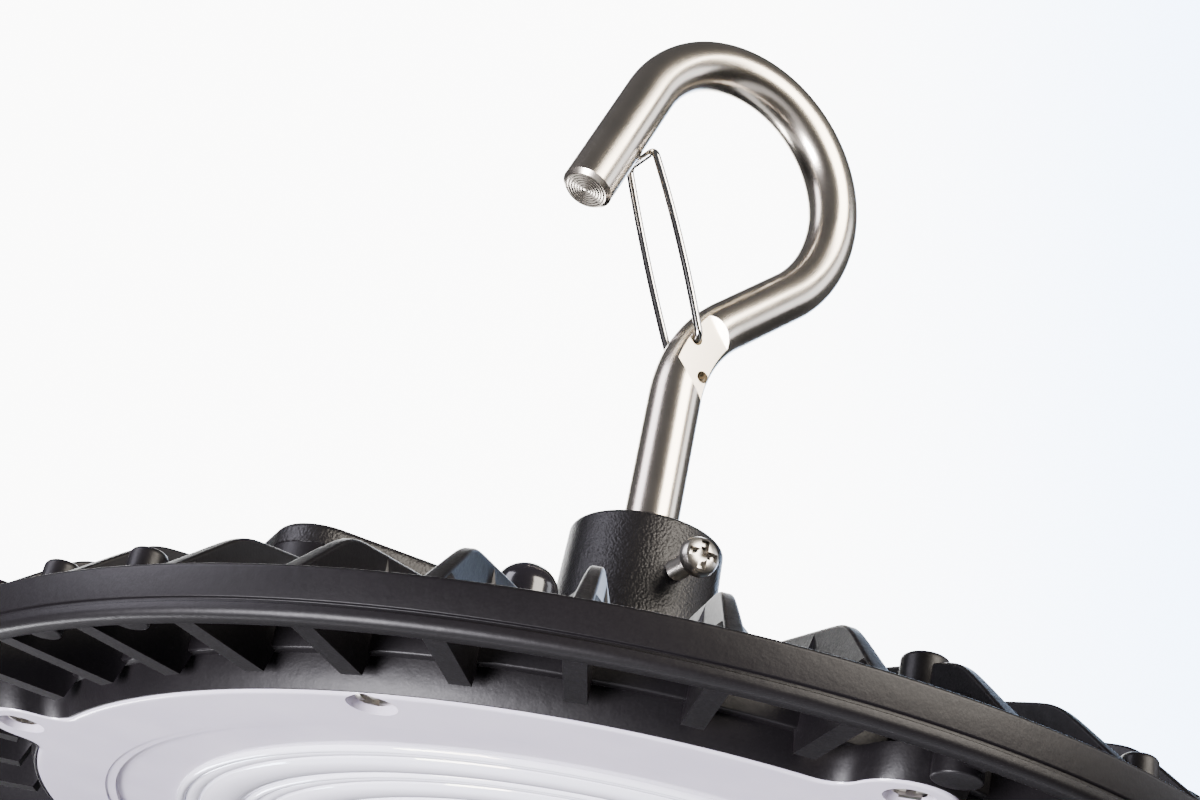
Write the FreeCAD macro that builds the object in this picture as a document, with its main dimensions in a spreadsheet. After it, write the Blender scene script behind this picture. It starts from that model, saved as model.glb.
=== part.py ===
"""High bay light that hangs from a hook.

A die-cast, finned body carries a round lens below and a driver compartment above.
The lid of the compartment holds a bent bar hook with a wire latch.

Frame: +Z up along the hook's stem, origin in the middle of the rim's lower face, so the
lamp stands on Z = 0. The hook's lock screw points along -Y. Millimetres.
"""
import FreeCAD, Part
import math
import os
import re
import Sketcher

doc = FreeCAD.newDocument("high_bay_light")

# ---------------------------------------------------------------- driving dimensions
SIZES = {
    # cast body: rim, fins, base plate
    "rim_radius": 115.0,
    "rim_wall": 3.5,
    "rim_height": 6.9,
    "rim_draft": 0.4,
    "rim_edge": 0.6,
    "lip_height": 1.9,
    "lip_rounding": 1.1,
    "lip_groove": 0.35,
    "lip_groove_width": 0.6,
    "fin_count": 40,
    "fin_inner": 46.0,
    "fin_peak_radius": 103.0,
    "fin_peak_height": 16.4,
    "fin_peak_rounding": 3.5,
    "fin_rise": 0.2,
    "fin_foot_radius": 114.2,
    "fin_bottom": 1.6,
    "fin_root": 3.7,
    "fin_crest": 1.8,
    "fin_crest_height": 30.0,
    "base_radius": 93.0,
    "base_seat": 5.0,
    "base_ceiling": 6.2,
    "base_top": 10.2,
    "recess_radius": 80.0,
    # bosses cast on the body
    "lobe_screw_radius": 94.2,
    "mid_screw_radius": 86.0,
    "lens_boss_radius": 5.0,
    "lobe_boss_radius": 3.4,
    "lobe_boss_top": 19.2,
    "mid_boss_top": 15.0,
    "lens_thread": 2.03,
    "lens_thread_depth": 8.5,
    "reflector_radius": 104.0,
    "reflector_boss_radius": 3.3,
    "reflector_boss_foot": 0.6,
    "reflector_boss_top": 11.0,
    "reflector_thread": 1.65,
    "reflector_thread_depth": 8.0,
    "ejector_radius": 109.2,
    "ejector_boss_radius": 2.6,
    "ejector_boss_top": 11.4,
    # driver compartment
    "box_length": 138.0,
    "box_width": 51.0,
    "box_corner": 8.0,
    "box_wall": 4.5,
    "box_top": 33.5,
    "box_draft": 1.0,
    "cavity_corner": 3.5,
    "gasket_inset": 1.3,
    "gasket_width": 1.8,
    "gasket_depth": 1.5,
    "lid_screw_span": 60.5,
    "lid_screw_side": 17.0,
    "lid_middle_side": 19.4,
    "lid_boss_radius": 4.4,
    "lid_thread": 2.03,
    "lid_thread_depth": 12.0,
    "channel_width": 21.0,
    "channel_floor": 12.6,
    # lid with the hook boss
    "lid_thickness": 3.5,
    "lid_edge": 1.3,
    "boss_top": 65.2,
    "boss_radius": 13.9,
    "boss_base_radius": 14.7,
    "boss_edge": 1.0,
    "boss_blend": 4.0,
    "screw_pocket_depth": 1.6,
    "screw_pocket_radius": 4.2,
    "screw_clearance": 2.2,
    # screws shared by lid and lens
    "screw_radius": 2.0,
    "screw_head_radius": 3.5,
    "screw_head_height": 2.4,
    "screw_head_edge": 0.9,
    "screw_seal_height": 0.8,
    "lid_screw_length": 12.0,
    "lens_screw_length": 10.0,
    # hook
    "bar_radius": 5.0,
    "stem_gap": 0.05,
    "stem_end": 24.5,
    "loop_radius": 24.3,
    "loop_offset": 4.6,
    "loop_height": 82.0,
    "tip_angle": 71.8,
    "tip_length": 29.0,
    "tip_chamfer": 0.8,
    "back_bend": 28.5,
    "neck_bend": 28.0,
    "neck_angle": 45.4,
    "hook_turn": 6.5,
    "flat_across": 7.0,
    "flat_length": 12.4,
    "flat_offset": 2.0,
    "flat_height": 39.4,
    "pivot_hole": 1.2,
    "near_pivot_offset": 0.3,
    "near_pivot_height": 41.4,
    "far_pivot_offset": 3.0,
    "far_pivot_height": 34.4,
    # wire latch
    "wire_radius": 0.75,
    "wire_bend": 1.5,
    "wire_spread": 4.5,
    "wire_stub": 1.1,
    "latch_reach": 15.4,
    "latch_gap": 0.03,
    # lock screw and inner nut
    "lock_screw_drop": 9.6,
    "lock_screw_reach": 24.0,
    "lock_screw_play": 0.03,
    "washer_radius": 9.0,
    "washer_thickness": 2.2,
    "nut_across": 16.0,
    "nut_height": 5.0,
    # lens
    "lens_face": 0.3,
    "lens_radius": 89.7,
    "lens_wall": 2.3,
    "plate_thickness": 2.2,
    "tongue_radius": 82.0,
    "tongue_width": 1.6,
    "lobe_centre": 92.7,
    "lobe_radius": 7.2,
    "lobe_blend": 5.0,
    "pocket_radius": 4.6,
    "pocket_depth": 2.7,
    "pocket_wall": 1.6,
    "step_radius": 78.5,
    "step_depth": 0.3,
    "ring_pitch": 11.0,
    "ring_depth": 1.1,
    "ring_half": 4.8,
    "ring_crown": 2.4,
    "ring_rounding": 8.0,
    "ring_count": 6,
    "lens_edge": 0.7,
    "optic_radius": 77.0,
    "lens_gasket_depth": 1.8,
    "gasket_play": 0.05,
    # light source
    "board_radius": 79.2,
    "board_thickness": 1.6,
    "pad_thickness": 0.3,
    "chip_size": 3.0,
    "chip_height": 0.7,
    "board_screw_ring": 66.0,
    "board_screw_radius": 1.5,
    "board_head_radius": 2.75,
    "board_head_height": 1.5,
    "board_screw_length": 5.0,
    "board_screw_count": 6,
    "lead_hole_place": 55.0,
    "lead_hole": 2.8,
    "lead_radius": 0.7,
    "lead_spacing": 2.0,
    "lead_bend": 1.8,
    "lead_run": 7.0,
    "grommet_flange": 4.2,
    "grommet_height": 1.2,
    "grommet_bore": 1.9,
    # driver
    "post_height": 3.8,
    "post_radius": 3.0,
    "post_span": 46.0,
    "post_side": 14.5,
    "insulator_thickness": 0.4,
    "circuit_start": -49.5,
    "circuit_length": 103.0,
    "circuit_width": 38.0,
    "circuit_thickness": 1.6,
    "circuit_notch": 5.6,
    "terminal_end": 51.5,
    "terminal_length": 8.0,
    "terminal_height": 9.0,
    "input_side": -8.0,
    "lead_height": 20.0,
    "transformer_place": -23.5,
    "transformer_length": 20.0,
    "transformer_width": 15.0,
    "transformer_height": 15.0,
    "transformer_coil": 8.0,
    "choke_place": 21.5,
    "choke_radius": 9.5,
    "choke_bore": 4.0,
    "choke_height": 8.0,
    "can_place": -40.6,
    "can_side": 6.2,
    "can_radius": 5.0,
    "can_height": 15.0,
    "transistor_place": 5.0,
    "film_place": 37.0,
    "film_length": 7.5,
    "film_width": 18.0,
    "film_height": 13.0,
    "driver_screw_length": 6.0,
    "earth_place": -57.0,
    "earth_side": 8.0,
    # vent
    "vent_place": -26.6,
    "vent_side": -16.0,
    "vent_thread": 3.0,
    "vent_stem": 5.0,
    "vent_flange": 5.2,
    "vent_flange_height": 2.2,
    "vent_cap": 4.4,
    "vent_cap_height": 9.2,
    "vent_seal_height": 0.6,
    # cable gland
    "gland_height": 22.5,
    "gland_thread": 6.0,
    "gland_play": 0.05,
    "gland_seat": 1.2,
    "gland_boss_radius": 9.8,
    "gland_inside": 12.0,
    "gland_across": 15.0,
    "gland_hex": 4.0,
    "gland_neck": 5.0,
    "gland_bore": 3.4,
    "gland_seal_height": 1.0,
    "gland_nut_length": 12.0,
    "gland_nut_radius": 8.6,
    "locknut_height": 3.5,
}

sheet = doc.addObject("Spreadsheet::Sheet", "Size")
for row, (alias, value) in enumerate(SIZES.items(), start=1):
    sheet.set(f"A{row}", alias)
    sheet.set(f"B{row}", str(value))
    sheet.setAlias(f"B{row}", alias)
doc.recompute()


# ---------------------------------------------------------------- small helpers
def formula(text):
    """The text as a document expression: each size's name becomes a cell of the sheet."""
    return re.sub(r"[a-z_]+", lambda word: "Size." + word.group() if word.group() in SIZES
                  else word.group(), str(text))


def number(text):
    """The present value of a formula."""
    return float(sheet.evalExpression(formula(text)))


def new_body(label):
    """A PartDesign body whose label is the name of its node."""
    body = doc.addObject("PartDesign::Body", label)
    body.Label = label
    return body


def origin_part(body, role):
    """One of the body's own origin planes or axes."""
    return next(part for part in body.Origin.OriginFeatures if part.Role == role)


def new_sketch(body, name, plane="XY_Plane", offset="0"):
    """A sketch on an origin plane of the body, shifted along the plane's normal."""
    sketch = body.newObject("Sketcher::SketchObject", name)
    sketch.AttachmentSupport = [(origin_part(body, plane), "")]
    sketch.MapMode = "FlatFace"
    sketch.setExpression("AttachmentOffset.Base.z", formula(offset))
    return sketch


def constrain(sketch, kind, *terms, size):
    """A dimension of the sketch that follows a formula."""
    index = sketch.addConstraint(Sketcher.Constraint(kind, *terms, number(size)))
    sketch.setExpression(f"Constraints[{index}]", formula(size))


def pin_point(sketch, geometry, point, across, up):
    """Holds a point of the sketch at its distances from the sketch's origin."""
    constrain(sketch, "DistanceX", -1, 1, geometry, point, size=across)
    constrain(sketch, "DistanceY", -1, 1, geometry, point, size=up)


def add_circle(sketch, across, up, radius):
    """A full circle with its centre and radius held by formulas."""
    centre = FreeCAD.Vector(number(across), number(up), 0)
    circle = sketch.addGeometry(Part.Circle(centre, FreeCAD.Vector(0, 0, 1), number(radius)))
    constrain(sketch, "Radius", circle, size=radius)
    pin_point(sketch, circle, 3, across, up)


def add_outline(sketch, corners):
    """A closed outline of straight sides. A corner is (across, up) or (across, up, rounding)."""
    spots = [FreeCAD.Vector(number(corner[0]), number(corner[1]), 0) for corner in corners]
    count = len(corners)
    trims = []
    for index, corner in enumerate(corners):
        here, before, after = spots[index], spots[index - 1], spots[(index + 1) % count]
        to_before = (before - here).normalize()
        to_after = (after - here).normalize()
        radius = number(corner[2]) if len(corner) > 2 else 0.0
        half_turn = to_before.getAngle(to_after) / 2
        length = radius / math.tan(half_turn)
        middle = here + (to_before + to_after).normalize() * (radius / math.sin(half_turn)) \
            if radius else here
        trims.append((here + to_before * length, here + to_after * length, middle, radius))
    sides = [sketch.addGeometry(Part.LineSegment(trims[index][1], trims[(index + 1) % count][0]))
             for index in range(count)]
    for index, corner in enumerate(corners):
        start, end, middle, radius = trims[index]
        side_in, side_out = sides[index - 1], sides[index]
        if not radius:
            sketch.addConstraint(Sketcher.Constraint("Coincident", side_in, 2, side_out, 1))
            pin_point(sketch, side_out, 1, corner[0], corner[1])
            continue
        turn = (start - middle).cross(end - middle).z
        first, last = (start, end) if turn > 0 else (end, start)
        angles = [math.atan2(spot.y - middle.y, spot.x - middle.x) for spot in (first, last)]
        if angles[1] < angles[0]:
            angles[1] += 2 * math.pi
        circle = Part.Circle(middle, FreeCAD.Vector(0, 0, 1), radius)
        arc = sketch.addGeometry(Part.ArcOfCircle(circle, *angles))
        ends = (1, 2) if turn > 0 else (2, 1)
        sketch.addConstraint(Sketcher.Constraint("Tangent", side_in, 2, arc, ends[0]))
        sketch.addConstraint(Sketcher.Constraint("Tangent", arc, ends[1], side_out, 1))
        constrain(sketch, "Radius", arc, size=corner[2])
        apex = sketch.addGeometry(Part.Point(spots[index]), True)
        pin_point(sketch, apex, 1, corner[0], corner[1])
        sketch.addConstraint(Sketcher.Constraint("PointOnObject", apex, 1, side_in))
        sketch.addConstraint(Sketcher.Constraint("PointOnObject", apex, 1, side_out))


def box_corners(length, width, rounding, across="0"):
    """Corners of a rounded rectangle, long along the sketch's first axis."""
    left, right = f"{across} - ({length}) / 2", f"{across} + ({length}) / 2"
    low, high = f"-({width}) / 2", f"({width}) / 2"
    return [(left, low, rounding), (right, low, rounding),
            (right, high, rounding), (left, high, rounding)]


def finish_feature(feature, settings):
    """Sets a feature's properties: formulas for lengths, plain values for the rest."""
    feature.Refine = False
    for name, value in settings.items():
        if isinstance(value, str) and name in ("Length", "Length2", "TaperAngle", "Radius"):
            feature.setExpression(name, formula(value))
        else:
            setattr(feature, name, value)
    return feature


def add_feature(body, kind, sketch, name, **settings):
    """A pad or a pocket of a sketch."""
    feature = body.newObject("PartDesign::" + kind, name)
    feature.Profile = sketch
    return finish_feature(feature, settings)


def add_turned(body, kind, sketch, name):
    """A revolution or a groove about the sketch's upright axis."""
    feature = body.newObject("PartDesign::" + kind, name)
    feature.Profile = sketch
    feature.ReferenceAxis = (sketch, ["V_Axis"])
    feature.Angle = 360
    feature.Refine = False
    return feature


def add_ring_of(body, feature, name, count):
    """Copies of a feature, evenly spaced about the lamp's upright axis."""
    pattern = body.newObject("PartDesign::PolarPattern", name)
    pattern.Originals = [feature]
    pattern.Axis = (origin_part(body, "Z_Axis"), [""])
    pattern.Angle = 360
    pattern.setExpression("Occurrences", formula(count))
    body.Tip = pattern
    return pattern


def add_fillet(body, name, radius, choose):
    """Rounds the edges of the body's last feature that the test picks."""
    doc.recompute()
    base = body.Tip
    names = [f"Edge{index}" for index, edge in enumerate(base.Shape.Edges, start=1) if choose(edge)]
    fillet = body.newObject("PartDesign::Fillet", name)
    fillet.Base = (base, names)
    fillet.setExpression("Radius", formula(radius))
    return fillet


def new_cylinder(name, radius, height, x="0", y="0", z="0", along="Z"):
    """A Part cylinder whose sizes and place follow formulas."""
    cylinder = doc.addObject("Part::Cylinder", name)
    cylinder.setExpression("Radius", formula(radius))
    cylinder.setExpression("Height", formula(height))
    turns = {"Z": FreeCAD.Rotation(), "X": FreeCAD.Rotation(FreeCAD.Vector(0, 1, 0), 90),
             "-Y": FreeCAD.Rotation(FreeCAD.Vector(1, 0, 0), 90)}
    cylinder.Placement = FreeCAD.Placement(FreeCAD.Vector(), turns[along])
    place(cylinder, x, y, z)
    return cylinder


def new_box(name, length, width, height, x="0", y="0", z="0"):
    """A Part box, centred on x and y, standing on z."""
    box = doc.addObject("Part::Box", name)
    for side, size in (("Length", length), ("Width", width), ("Height", height)):
        box.setExpression(side, formula(size))
    place(box, f"{x} - ({length}) / 2", f"{y} - ({width}) / 2", z)
    return box


def new_prism(name, across, height, x="0", y="0", z="0", along="Z"):
    """A hexagon bar of the given width across its flats."""
    prism = doc.addObject("Part::Prism", name)
    prism.Polygon = 6
    prism.setExpression("Circumradius", formula(f"({across}) / 2 / cos(30deg)"))
    prism.setExpression("Height", formula(height))
    if along == "X":
        prism.Placement.Rotation = FreeCAD.Rotation(FreeCAD.Vector(0, 1, 0), 90)
    place(prism, x, y, z)
    return prism


def place(thing, x, y, z):
    """Puts an object at a place given by formulas."""
    for axis, value in (("x", x), ("y", y), ("z", z)):
        thing.setExpression("Placement.Base." + axis, formula(value))


def fuse(name, *pieces):
    """One solid out of pieces that touch or overlap."""
    joined = doc.addObject("Part::MultiFuse", name)
    joined.Shapes = list(pieces)
    joined.Refine = True
    return joined


def cut(name, base, *tools):
    """The base with every tool taken out of it."""
    tool = tools[0] if len(tools) == 1 else fuse(name + "_tools", *tools)
    result = doc.addObject("Part::Cut", name)
    result.Base, result.Tool = base, tool
    result.Refine = True
    return result


def group(label, pieces):
    """Like pieces that share one node as separate solids."""
    compound = doc.addObject("Part::Compound", label)
    compound.Links = list(pieces)
    compound.Label = label
    return compound


def at_height(edge, height, closeness=0.01):
    """True if the whole edge lies at the given height."""
    box = edge.BoundBox
    return abs(box.ZMin - height) < closeness and abs(box.ZMax - height) < closeness


def ring_spots(radius, count, start):
    """Evenly spaced places on a circle, counted from +X."""
    angles = [start + 360.0 * step / count for step in range(count)]
    return [(f"({radius}) * cos({angle}deg)", f"({radius}) * sin({angle}deg)") for angle in angles]


LOBES = ring_spots("lobe_screw_radius", 4, 0)
MIDDLES = ring_spots("mid_screw_radius", 4, 45)
BOARD_SCREWS = ring_spots("board_screw_ring", 6, 30)
LID_SCREWS = [(across + "lid_screw_span", up + "lid_screw_side")
              for across in ("", "-") for up in ("", "-")]
LID_SCREWS += [("0", "lid_middle_side"), ("0", "-lid_middle_side")]
POSTS = [(across + "post_span", up + "post_side") for across in ("", "-") for up in ("", "-")]
EARTH = ("earth_place", "earth_side")
LEAD_HOLE = ("lead_hole_place", "0")
GLAND_FACE = "box_length / 2 + gland_seat"
LID_TOP = "box_top + lid_thickness"


def add_circles(sketch, spots, radius):
    """Equal circles at several places."""
    for across, up in spots:
        add_circle(sketch, across, up, radius)


def round_pads(body, name, spots, radius, start, end):
    """Round bosses that stand between two heights."""
    sketch = new_sketch(body, name + "Circles", "XY_Plane", start)
    add_circles(sketch, spots, radius)
    return add_feature(body, "Pad", sketch, name, Length=f"{end} - ({start})")


def round_holes(body, name, spots, radius, start, depth, up=False):
    """Round holes that start at a height and go down, or up."""
    sketch = new_sketch(body, name + "Circles", "XY_Plane", start)
    add_circles(sketch, spots, radius)
    return add_feature(body, "Pocket", sketch, name, Length=depth, Reversed=up)


# ---------------------------------------------------------------- heatsink
def make_heatsink():
    """Die-cast body: fins, base plate, rim, bosses and the driver compartment."""
    body = new_body("heatsink")
    section = new_sketch(body, "FinSection", "YZ_Plane", "fin_inner")
    add_outline(section, [("-fin_root / 2", "fin_bottom"), ("fin_root / 2", "fin_bottom"),
                          ("fin_crest / 2", "fin_crest_height"),
                          ("-fin_crest / 2", "fin_crest_height")])
    fin = add_feature(body, "Pad", section, "Fin", Length="fin_foot_radius - fin_inner")
    add_ring_of(body, fin, "Fins", "fin_count")

    tops = new_sketch(body, "FinTopLine", "XZ_Plane")
    inner = "fin_inner - 2"
    add_outline(tops, [(inner, f"fin_peak_height + (fin_peak_radius - ({inner})) * fin_rise"),
                       ("fin_peak_radius", "fin_peak_height", "fin_peak_rounding"),
                       ("fin_foot_radius", "rim_height"), ("rim_radius + 1", "rim_height"),
                       ("rim_radius + 1", "fin_crest_height + 1"),
                       (inner, "fin_crest_height + 1")])
    add_turned(body, "Groove", tops, "FinTops")

    rings = new_sketch(body, "PlateAndRimSection", "XZ_Plane")
    add_outline(rings, [("0", "base_seat"), ("base_radius", "base_seat"),
                        ("base_radius", "base_top"), ("0", "base_top")])
    side = "rim_radius - rim_draft"
    add_outline(rings, [("rim_radius - rim_wall", "0", "rim_edge"), (side, "0", "lip_rounding"),
                        (side, "lip_height"), (side + " - lip_groove", "lip_height"),
                        (side + " - lip_groove", "lip_height + lip_groove_width"),
                        (side, "lip_height + lip_groove_width"),
                        ("rim_radius", "rim_height", "rim_edge"),
                        ("rim_radius - rim_wall", "rim_height", "rim_edge")])
    add_turned(body, "Revolution", rings, "PlateAndRim")

    walls = new_sketch(body, "BoxOutline", "XY_Plane", "box_top")
    add_outline(walls, box_corners("box_length", "box_width", "box_corner"))
    add_feature(body, "Pad", walls, "Box", Length="box_top - base_top + 1", Reversed=True,
                TaperAngle="box_draft")
    seat = new_sketch(body, "GlandBossCircle", "YZ_Plane", "box_length / 2 - 1")
    add_circle(seat, "0", "gland_height", "gland_boss_radius")
    add_feature(body, "Pad", seat, "GlandBoss", Length="gland_seat + 1")
    channel = new_sketch(body, "ChannelOutline", "XY_Plane", "channel_floor")
    add_outline(channel, [(GLAND_FACE, "-channel_width / 2"),
                          ("rim_radius", "-channel_width / 2"),
                          ("rim_radius", "channel_width / 2"), (GLAND_FACE, "channel_width / 2")])
    add_feature(body, "Pocket", channel, "Channel", Length="box_top - channel_floor",
                Reversed=True)
    cavity = new_sketch(body, "CavityOutline", "XY_Plane", "box_top")
    add_outline(cavity, box_corners("box_length - 2 * box_wall", "box_width - 2 * box_wall",
                                    "cavity_corner"))
    add_feature(body, "Pocket", cavity, "Cavity", Length="box_top - base_top")

    round_pads(body, "LidBosses", LID_SCREWS, "lid_boss_radius", "base_top", "box_top")
    round_pads(body, "Posts", POSTS + [EARTH], "post_radius", "base_top",
               "base_top + post_height")
    round_pads(body, "LobeBosses", LOBES, "lobe_boss_radius", "base_seat", "lobe_boss_top")
    round_pads(body, "MiddleBosses", MIDDLES, "lens_boss_radius", "base_seat", "mid_boss_top")
    round_pads(body, "ReflectorBosses", ring_spots("reflector_radius", 4, 0),
               "reflector_boss_radius", "reflector_boss_foot", "reflector_boss_top")
    ejectors = [spot for start in (13.5, 22.5, 31.5)
                for spot in ring_spots("ejector_radius", 4, start)]
    round_pads(body, "EjectorBosses", ejectors, "ejector_boss_radius", "fin_bottom",
               "ejector_boss_top")

    light_side = new_sketch(body, "LensSeatSection", "XZ_Plane")
    tongue_in = "tongue_radius - tongue_width / 2"
    tongue_out = "tongue_radius + tongue_width / 2"
    groove_top = "base_seat + lens_gasket_depth"
    add_outline(light_side, [("0", "-1"), ("base_radius", "-1"), ("base_radius", "base_seat"),
                             (tongue_out, "base_seat"), (tongue_out, groove_top),
                             (tongue_in, groove_top), (tongue_in, "base_seat"),
                             ("recess_radius", "base_seat"), ("recess_radius", "base_ceiling"),
                             ("0", "base_ceiling")])
    add_turned(body, "Groove", light_side, "LensSeat")
    round_holes(body, "LobeRoom", ring_spots("lobe_centre", 4, 0), "lobe_radius + 0.6",
                "base_seat", "base_seat + 1")
    round_holes(body, "LensThreads", LOBES + MIDDLES, "lens_thread", "base_seat",
                "lens_thread_depth", up=True)
    round_holes(body, "ReflectorThreads", ring_spots("reflector_radius", 4, 0),
                "reflector_thread", "reflector_boss_foot", "reflector_thread_depth", up=True)
    round_holes(body, "BoardThreads", BOARD_SCREWS, "board_screw_radius + gasket_play",
                "base_ceiling", "board_screw_length - 1.7", up=True)
    round_holes(body, "LeadHole", [LEAD_HOLE], "lead_hole", "base_top",
                "base_top - base_ceiling")
    round_holes(body, "PostThreads", POSTS + [EARTH], "board_screw_radius + gasket_play",
                "base_top + post_height", "post_height + 1.4")
    round_holes(body, "LidThreads", LID_SCREWS, "lid_thread", "box_top", "lid_thread_depth")

    groove = new_sketch(body, "BoxGrooveOutline", "XY_Plane", "box_top")
    for inset in ("gasket_inset", "gasket_inset + gasket_width"):
        add_outline(groove, box_corners(f"box_length - 2 * ({inset})",
                                        f"box_width - 2 * ({inset})", f"box_corner - ({inset})"))
    add_feature(body, "Pocket", groove, "BoxGroove", Length="gasket_depth")
    gland = new_sketch(body, "GlandCircle", "YZ_Plane", GLAND_FACE)
    add_circle(gland, "0", "gland_height", "gland_thread + gland_play")
    add_feature(body, "Pocket", gland, "GlandHole", Length="gland_seat + box_wall")
    return body


# ---------------------------------------------------------------- lid
def make_lid():
    """Cast lid of the compartment. Its boss carries the hook."""
    body = new_body("driver_lid")
    plate = new_sketch(body, "PlateOutline", "XY_Plane", "box_top")
    add_outline(plate, box_corners("box_length", "box_width", "box_corner"))
    body.Tip = add_feature(body, "Pad", plate, "Plate", Length="lid_thickness")
    top = number(LID_TOP)
    edge = add_fillet(body, "PlateEdge", "lid_edge", lambda edge: at_height(edge, top))
    body.Tip = edge
    tower = new_sketch(body, "BossSection", "XZ_Plane")
    add_outline(tower, [("0", "box_top"), ("boss_base_radius", "box_top"),
                        ("boss_base_radius", LID_TOP), ("boss_radius", "boss_top", "boss_edge"),
                        ("0", "boss_top")])
    body.Tip = add_turned(body, "Revolution", tower, "Boss")
    foot = number("boss_base_radius")
    body.Tip = add_fillet(body, "BossBlend", "boss_blend",
                          lambda edge: at_height(edge, top) and edge.BoundBox.XMax < foot + 0.1)
    round_holes(body, "Bore", [("0", "0")], "bar_radius + stem_gap", "boss_top",
                "boss_top - box_top")
    screw_floor = LID_TOP + " - screw_pocket_depth"
    round_holes(body, "ScrewPockets", LID_SCREWS, "screw_pocket_radius", screw_floor,
                "screw_pocket_depth + boss_blend", up=True)
    round_holes(body, "ScrewHoles", LID_SCREWS, "screw_clearance", screw_floor,
                "lid_thickness - screw_pocket_depth")
    round_holes(body, "VentHole", [("vent_place", "vent_side")], "vent_thread + gasket_play",
                LID_TOP, "lid_thickness")
    side = new_sketch(body, "LockHoleCircle", "XZ_Plane")
    add_circle(side, "0", "boss_top - lock_screw_drop", "screw_radius + lock_screw_play")
    add_feature(body, "Pocket", side, "LockHole", Length="boss_base_radius + 1", Reversed=True)
    return body


# ---------------------------------------------------------------- screws
def make_screw(name, radius, length, head_radius, head_height, x="0", y="0", z="0", turned=None):
    """A pan head screw with a cross recess. The head's seat is at the body's own zero."""
    body = new_body(name)
    section = new_sketch(body, name + "Section", "XZ_Plane")
    add_outline(section, [("0", f"-({length})"), (f"{radius} - 0.4", f"-({length})"),
                          (radius, f"-({length}) + 0.6"), (radius, "0"), (head_radius, "0"),
                          (head_radius, head_height, "screw_head_edge"), ("0", head_height)])
    add_turned(body, "Revolution", section, name + "Turned")
    recess = new_sketch(body, name + "Cross", "XY_Plane", head_height)
    arm, slot = f"({head_radius}) * 0.56", f"({head_radius}) * 0.13"
    add_outline(recess, [(f"-({arm})", f"-({slot})"), (f"-({slot})", f"-({slot})"),
                         (f"-({slot})", f"-({arm})"), (slot, f"-({arm})"),
                         (slot, f"-({slot})"), (arm, f"-({slot})"), (arm, slot), (slot, slot),
                         (slot, arm), (f"-({slot})", arm), (f"-({slot})", slot),
                         (f"-({arm})", slot)])
    add_feature(body, "Pocket", recess, name + "Recess", Length=f"({head_height}) * 0.62")
    if turned:
        body.Placement = FreeCAD.Placement(FreeCAD.Vector(), turned)
    place(body, x, y, z)
    return body


UPSIDE_DOWN = FreeCAD.Rotation(FreeCAD.Vector(1, 0, 0), 180)
SIDEWAYS = FreeCAD.Rotation(FreeCAD.Vector(1, 0, 0), 90)


def make_screws(label, spots, z, length, small=False, turned=None):
    """A node of equal screws. Small ones are M3, the others M4."""
    kind = ("board_screw_radius", length, "board_head_radius", "board_head_height") if small \
        else ("screw_radius", length, "screw_head_radius", "screw_head_height")
    return group(label, [make_screw(f"{label}_{index}", *kind, x, y, z, turned)
                         for index, (x, y) in enumerate(spots, start=1)])


def make_lock_screw():
    """The screw that stands out of the hook boss and locks the hook's stem."""
    length = "lock_screw_reach - screw_head_height - bar_radius - lock_screw_play"
    return make_screw("hook_lock_screw", "screw_radius", length, "screw_head_radius",
                      "screw_head_height", y="-(lock_screw_reach - screw_head_height)",
                      z="boss_top - lock_screw_drop", turned=SIDEWAYS)


# ---------------------------------------------------------------- hook
# Places in the hook's own plane: (across, height).
NEAR_PIVOT = ("near_pivot_offset", "boss_top + near_pivot_height")
FAR_PIVOT = ("far_pivot_offset", "boss_top + far_pivot_height")
BACK_FOOT = "loop_offset + loop_radius - back_bend + back_bend * sin(neck_angle * 1deg)"
SLOPE_RUN = f"({BACK_FOOT} - neck_bend * (1 - sin(neck_angle * 1deg)))"
NECK_CENTRE_HEIGHT = (f"boss_top + loop_height - (back_bend + neck_bend) * cos(neck_angle * 1deg)"
                      f" - {SLOPE_RUN} * tan(neck_angle * 1deg)")
TIP_END = ("loop_offset - loop_radius * sin(tip_angle * 1deg)"
           " - tip_length * cos(tip_angle * 1deg)",
           "boss_top + loop_height + loop_radius * cos(tip_angle * 1deg)"
           " - tip_length * sin(tip_angle * 1deg)")
HOOK_TURN = FreeCAD.Placement(FreeCAD.Vector(), FreeCAD.Vector(0, 0, 1), number("hook_turn"))


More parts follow.
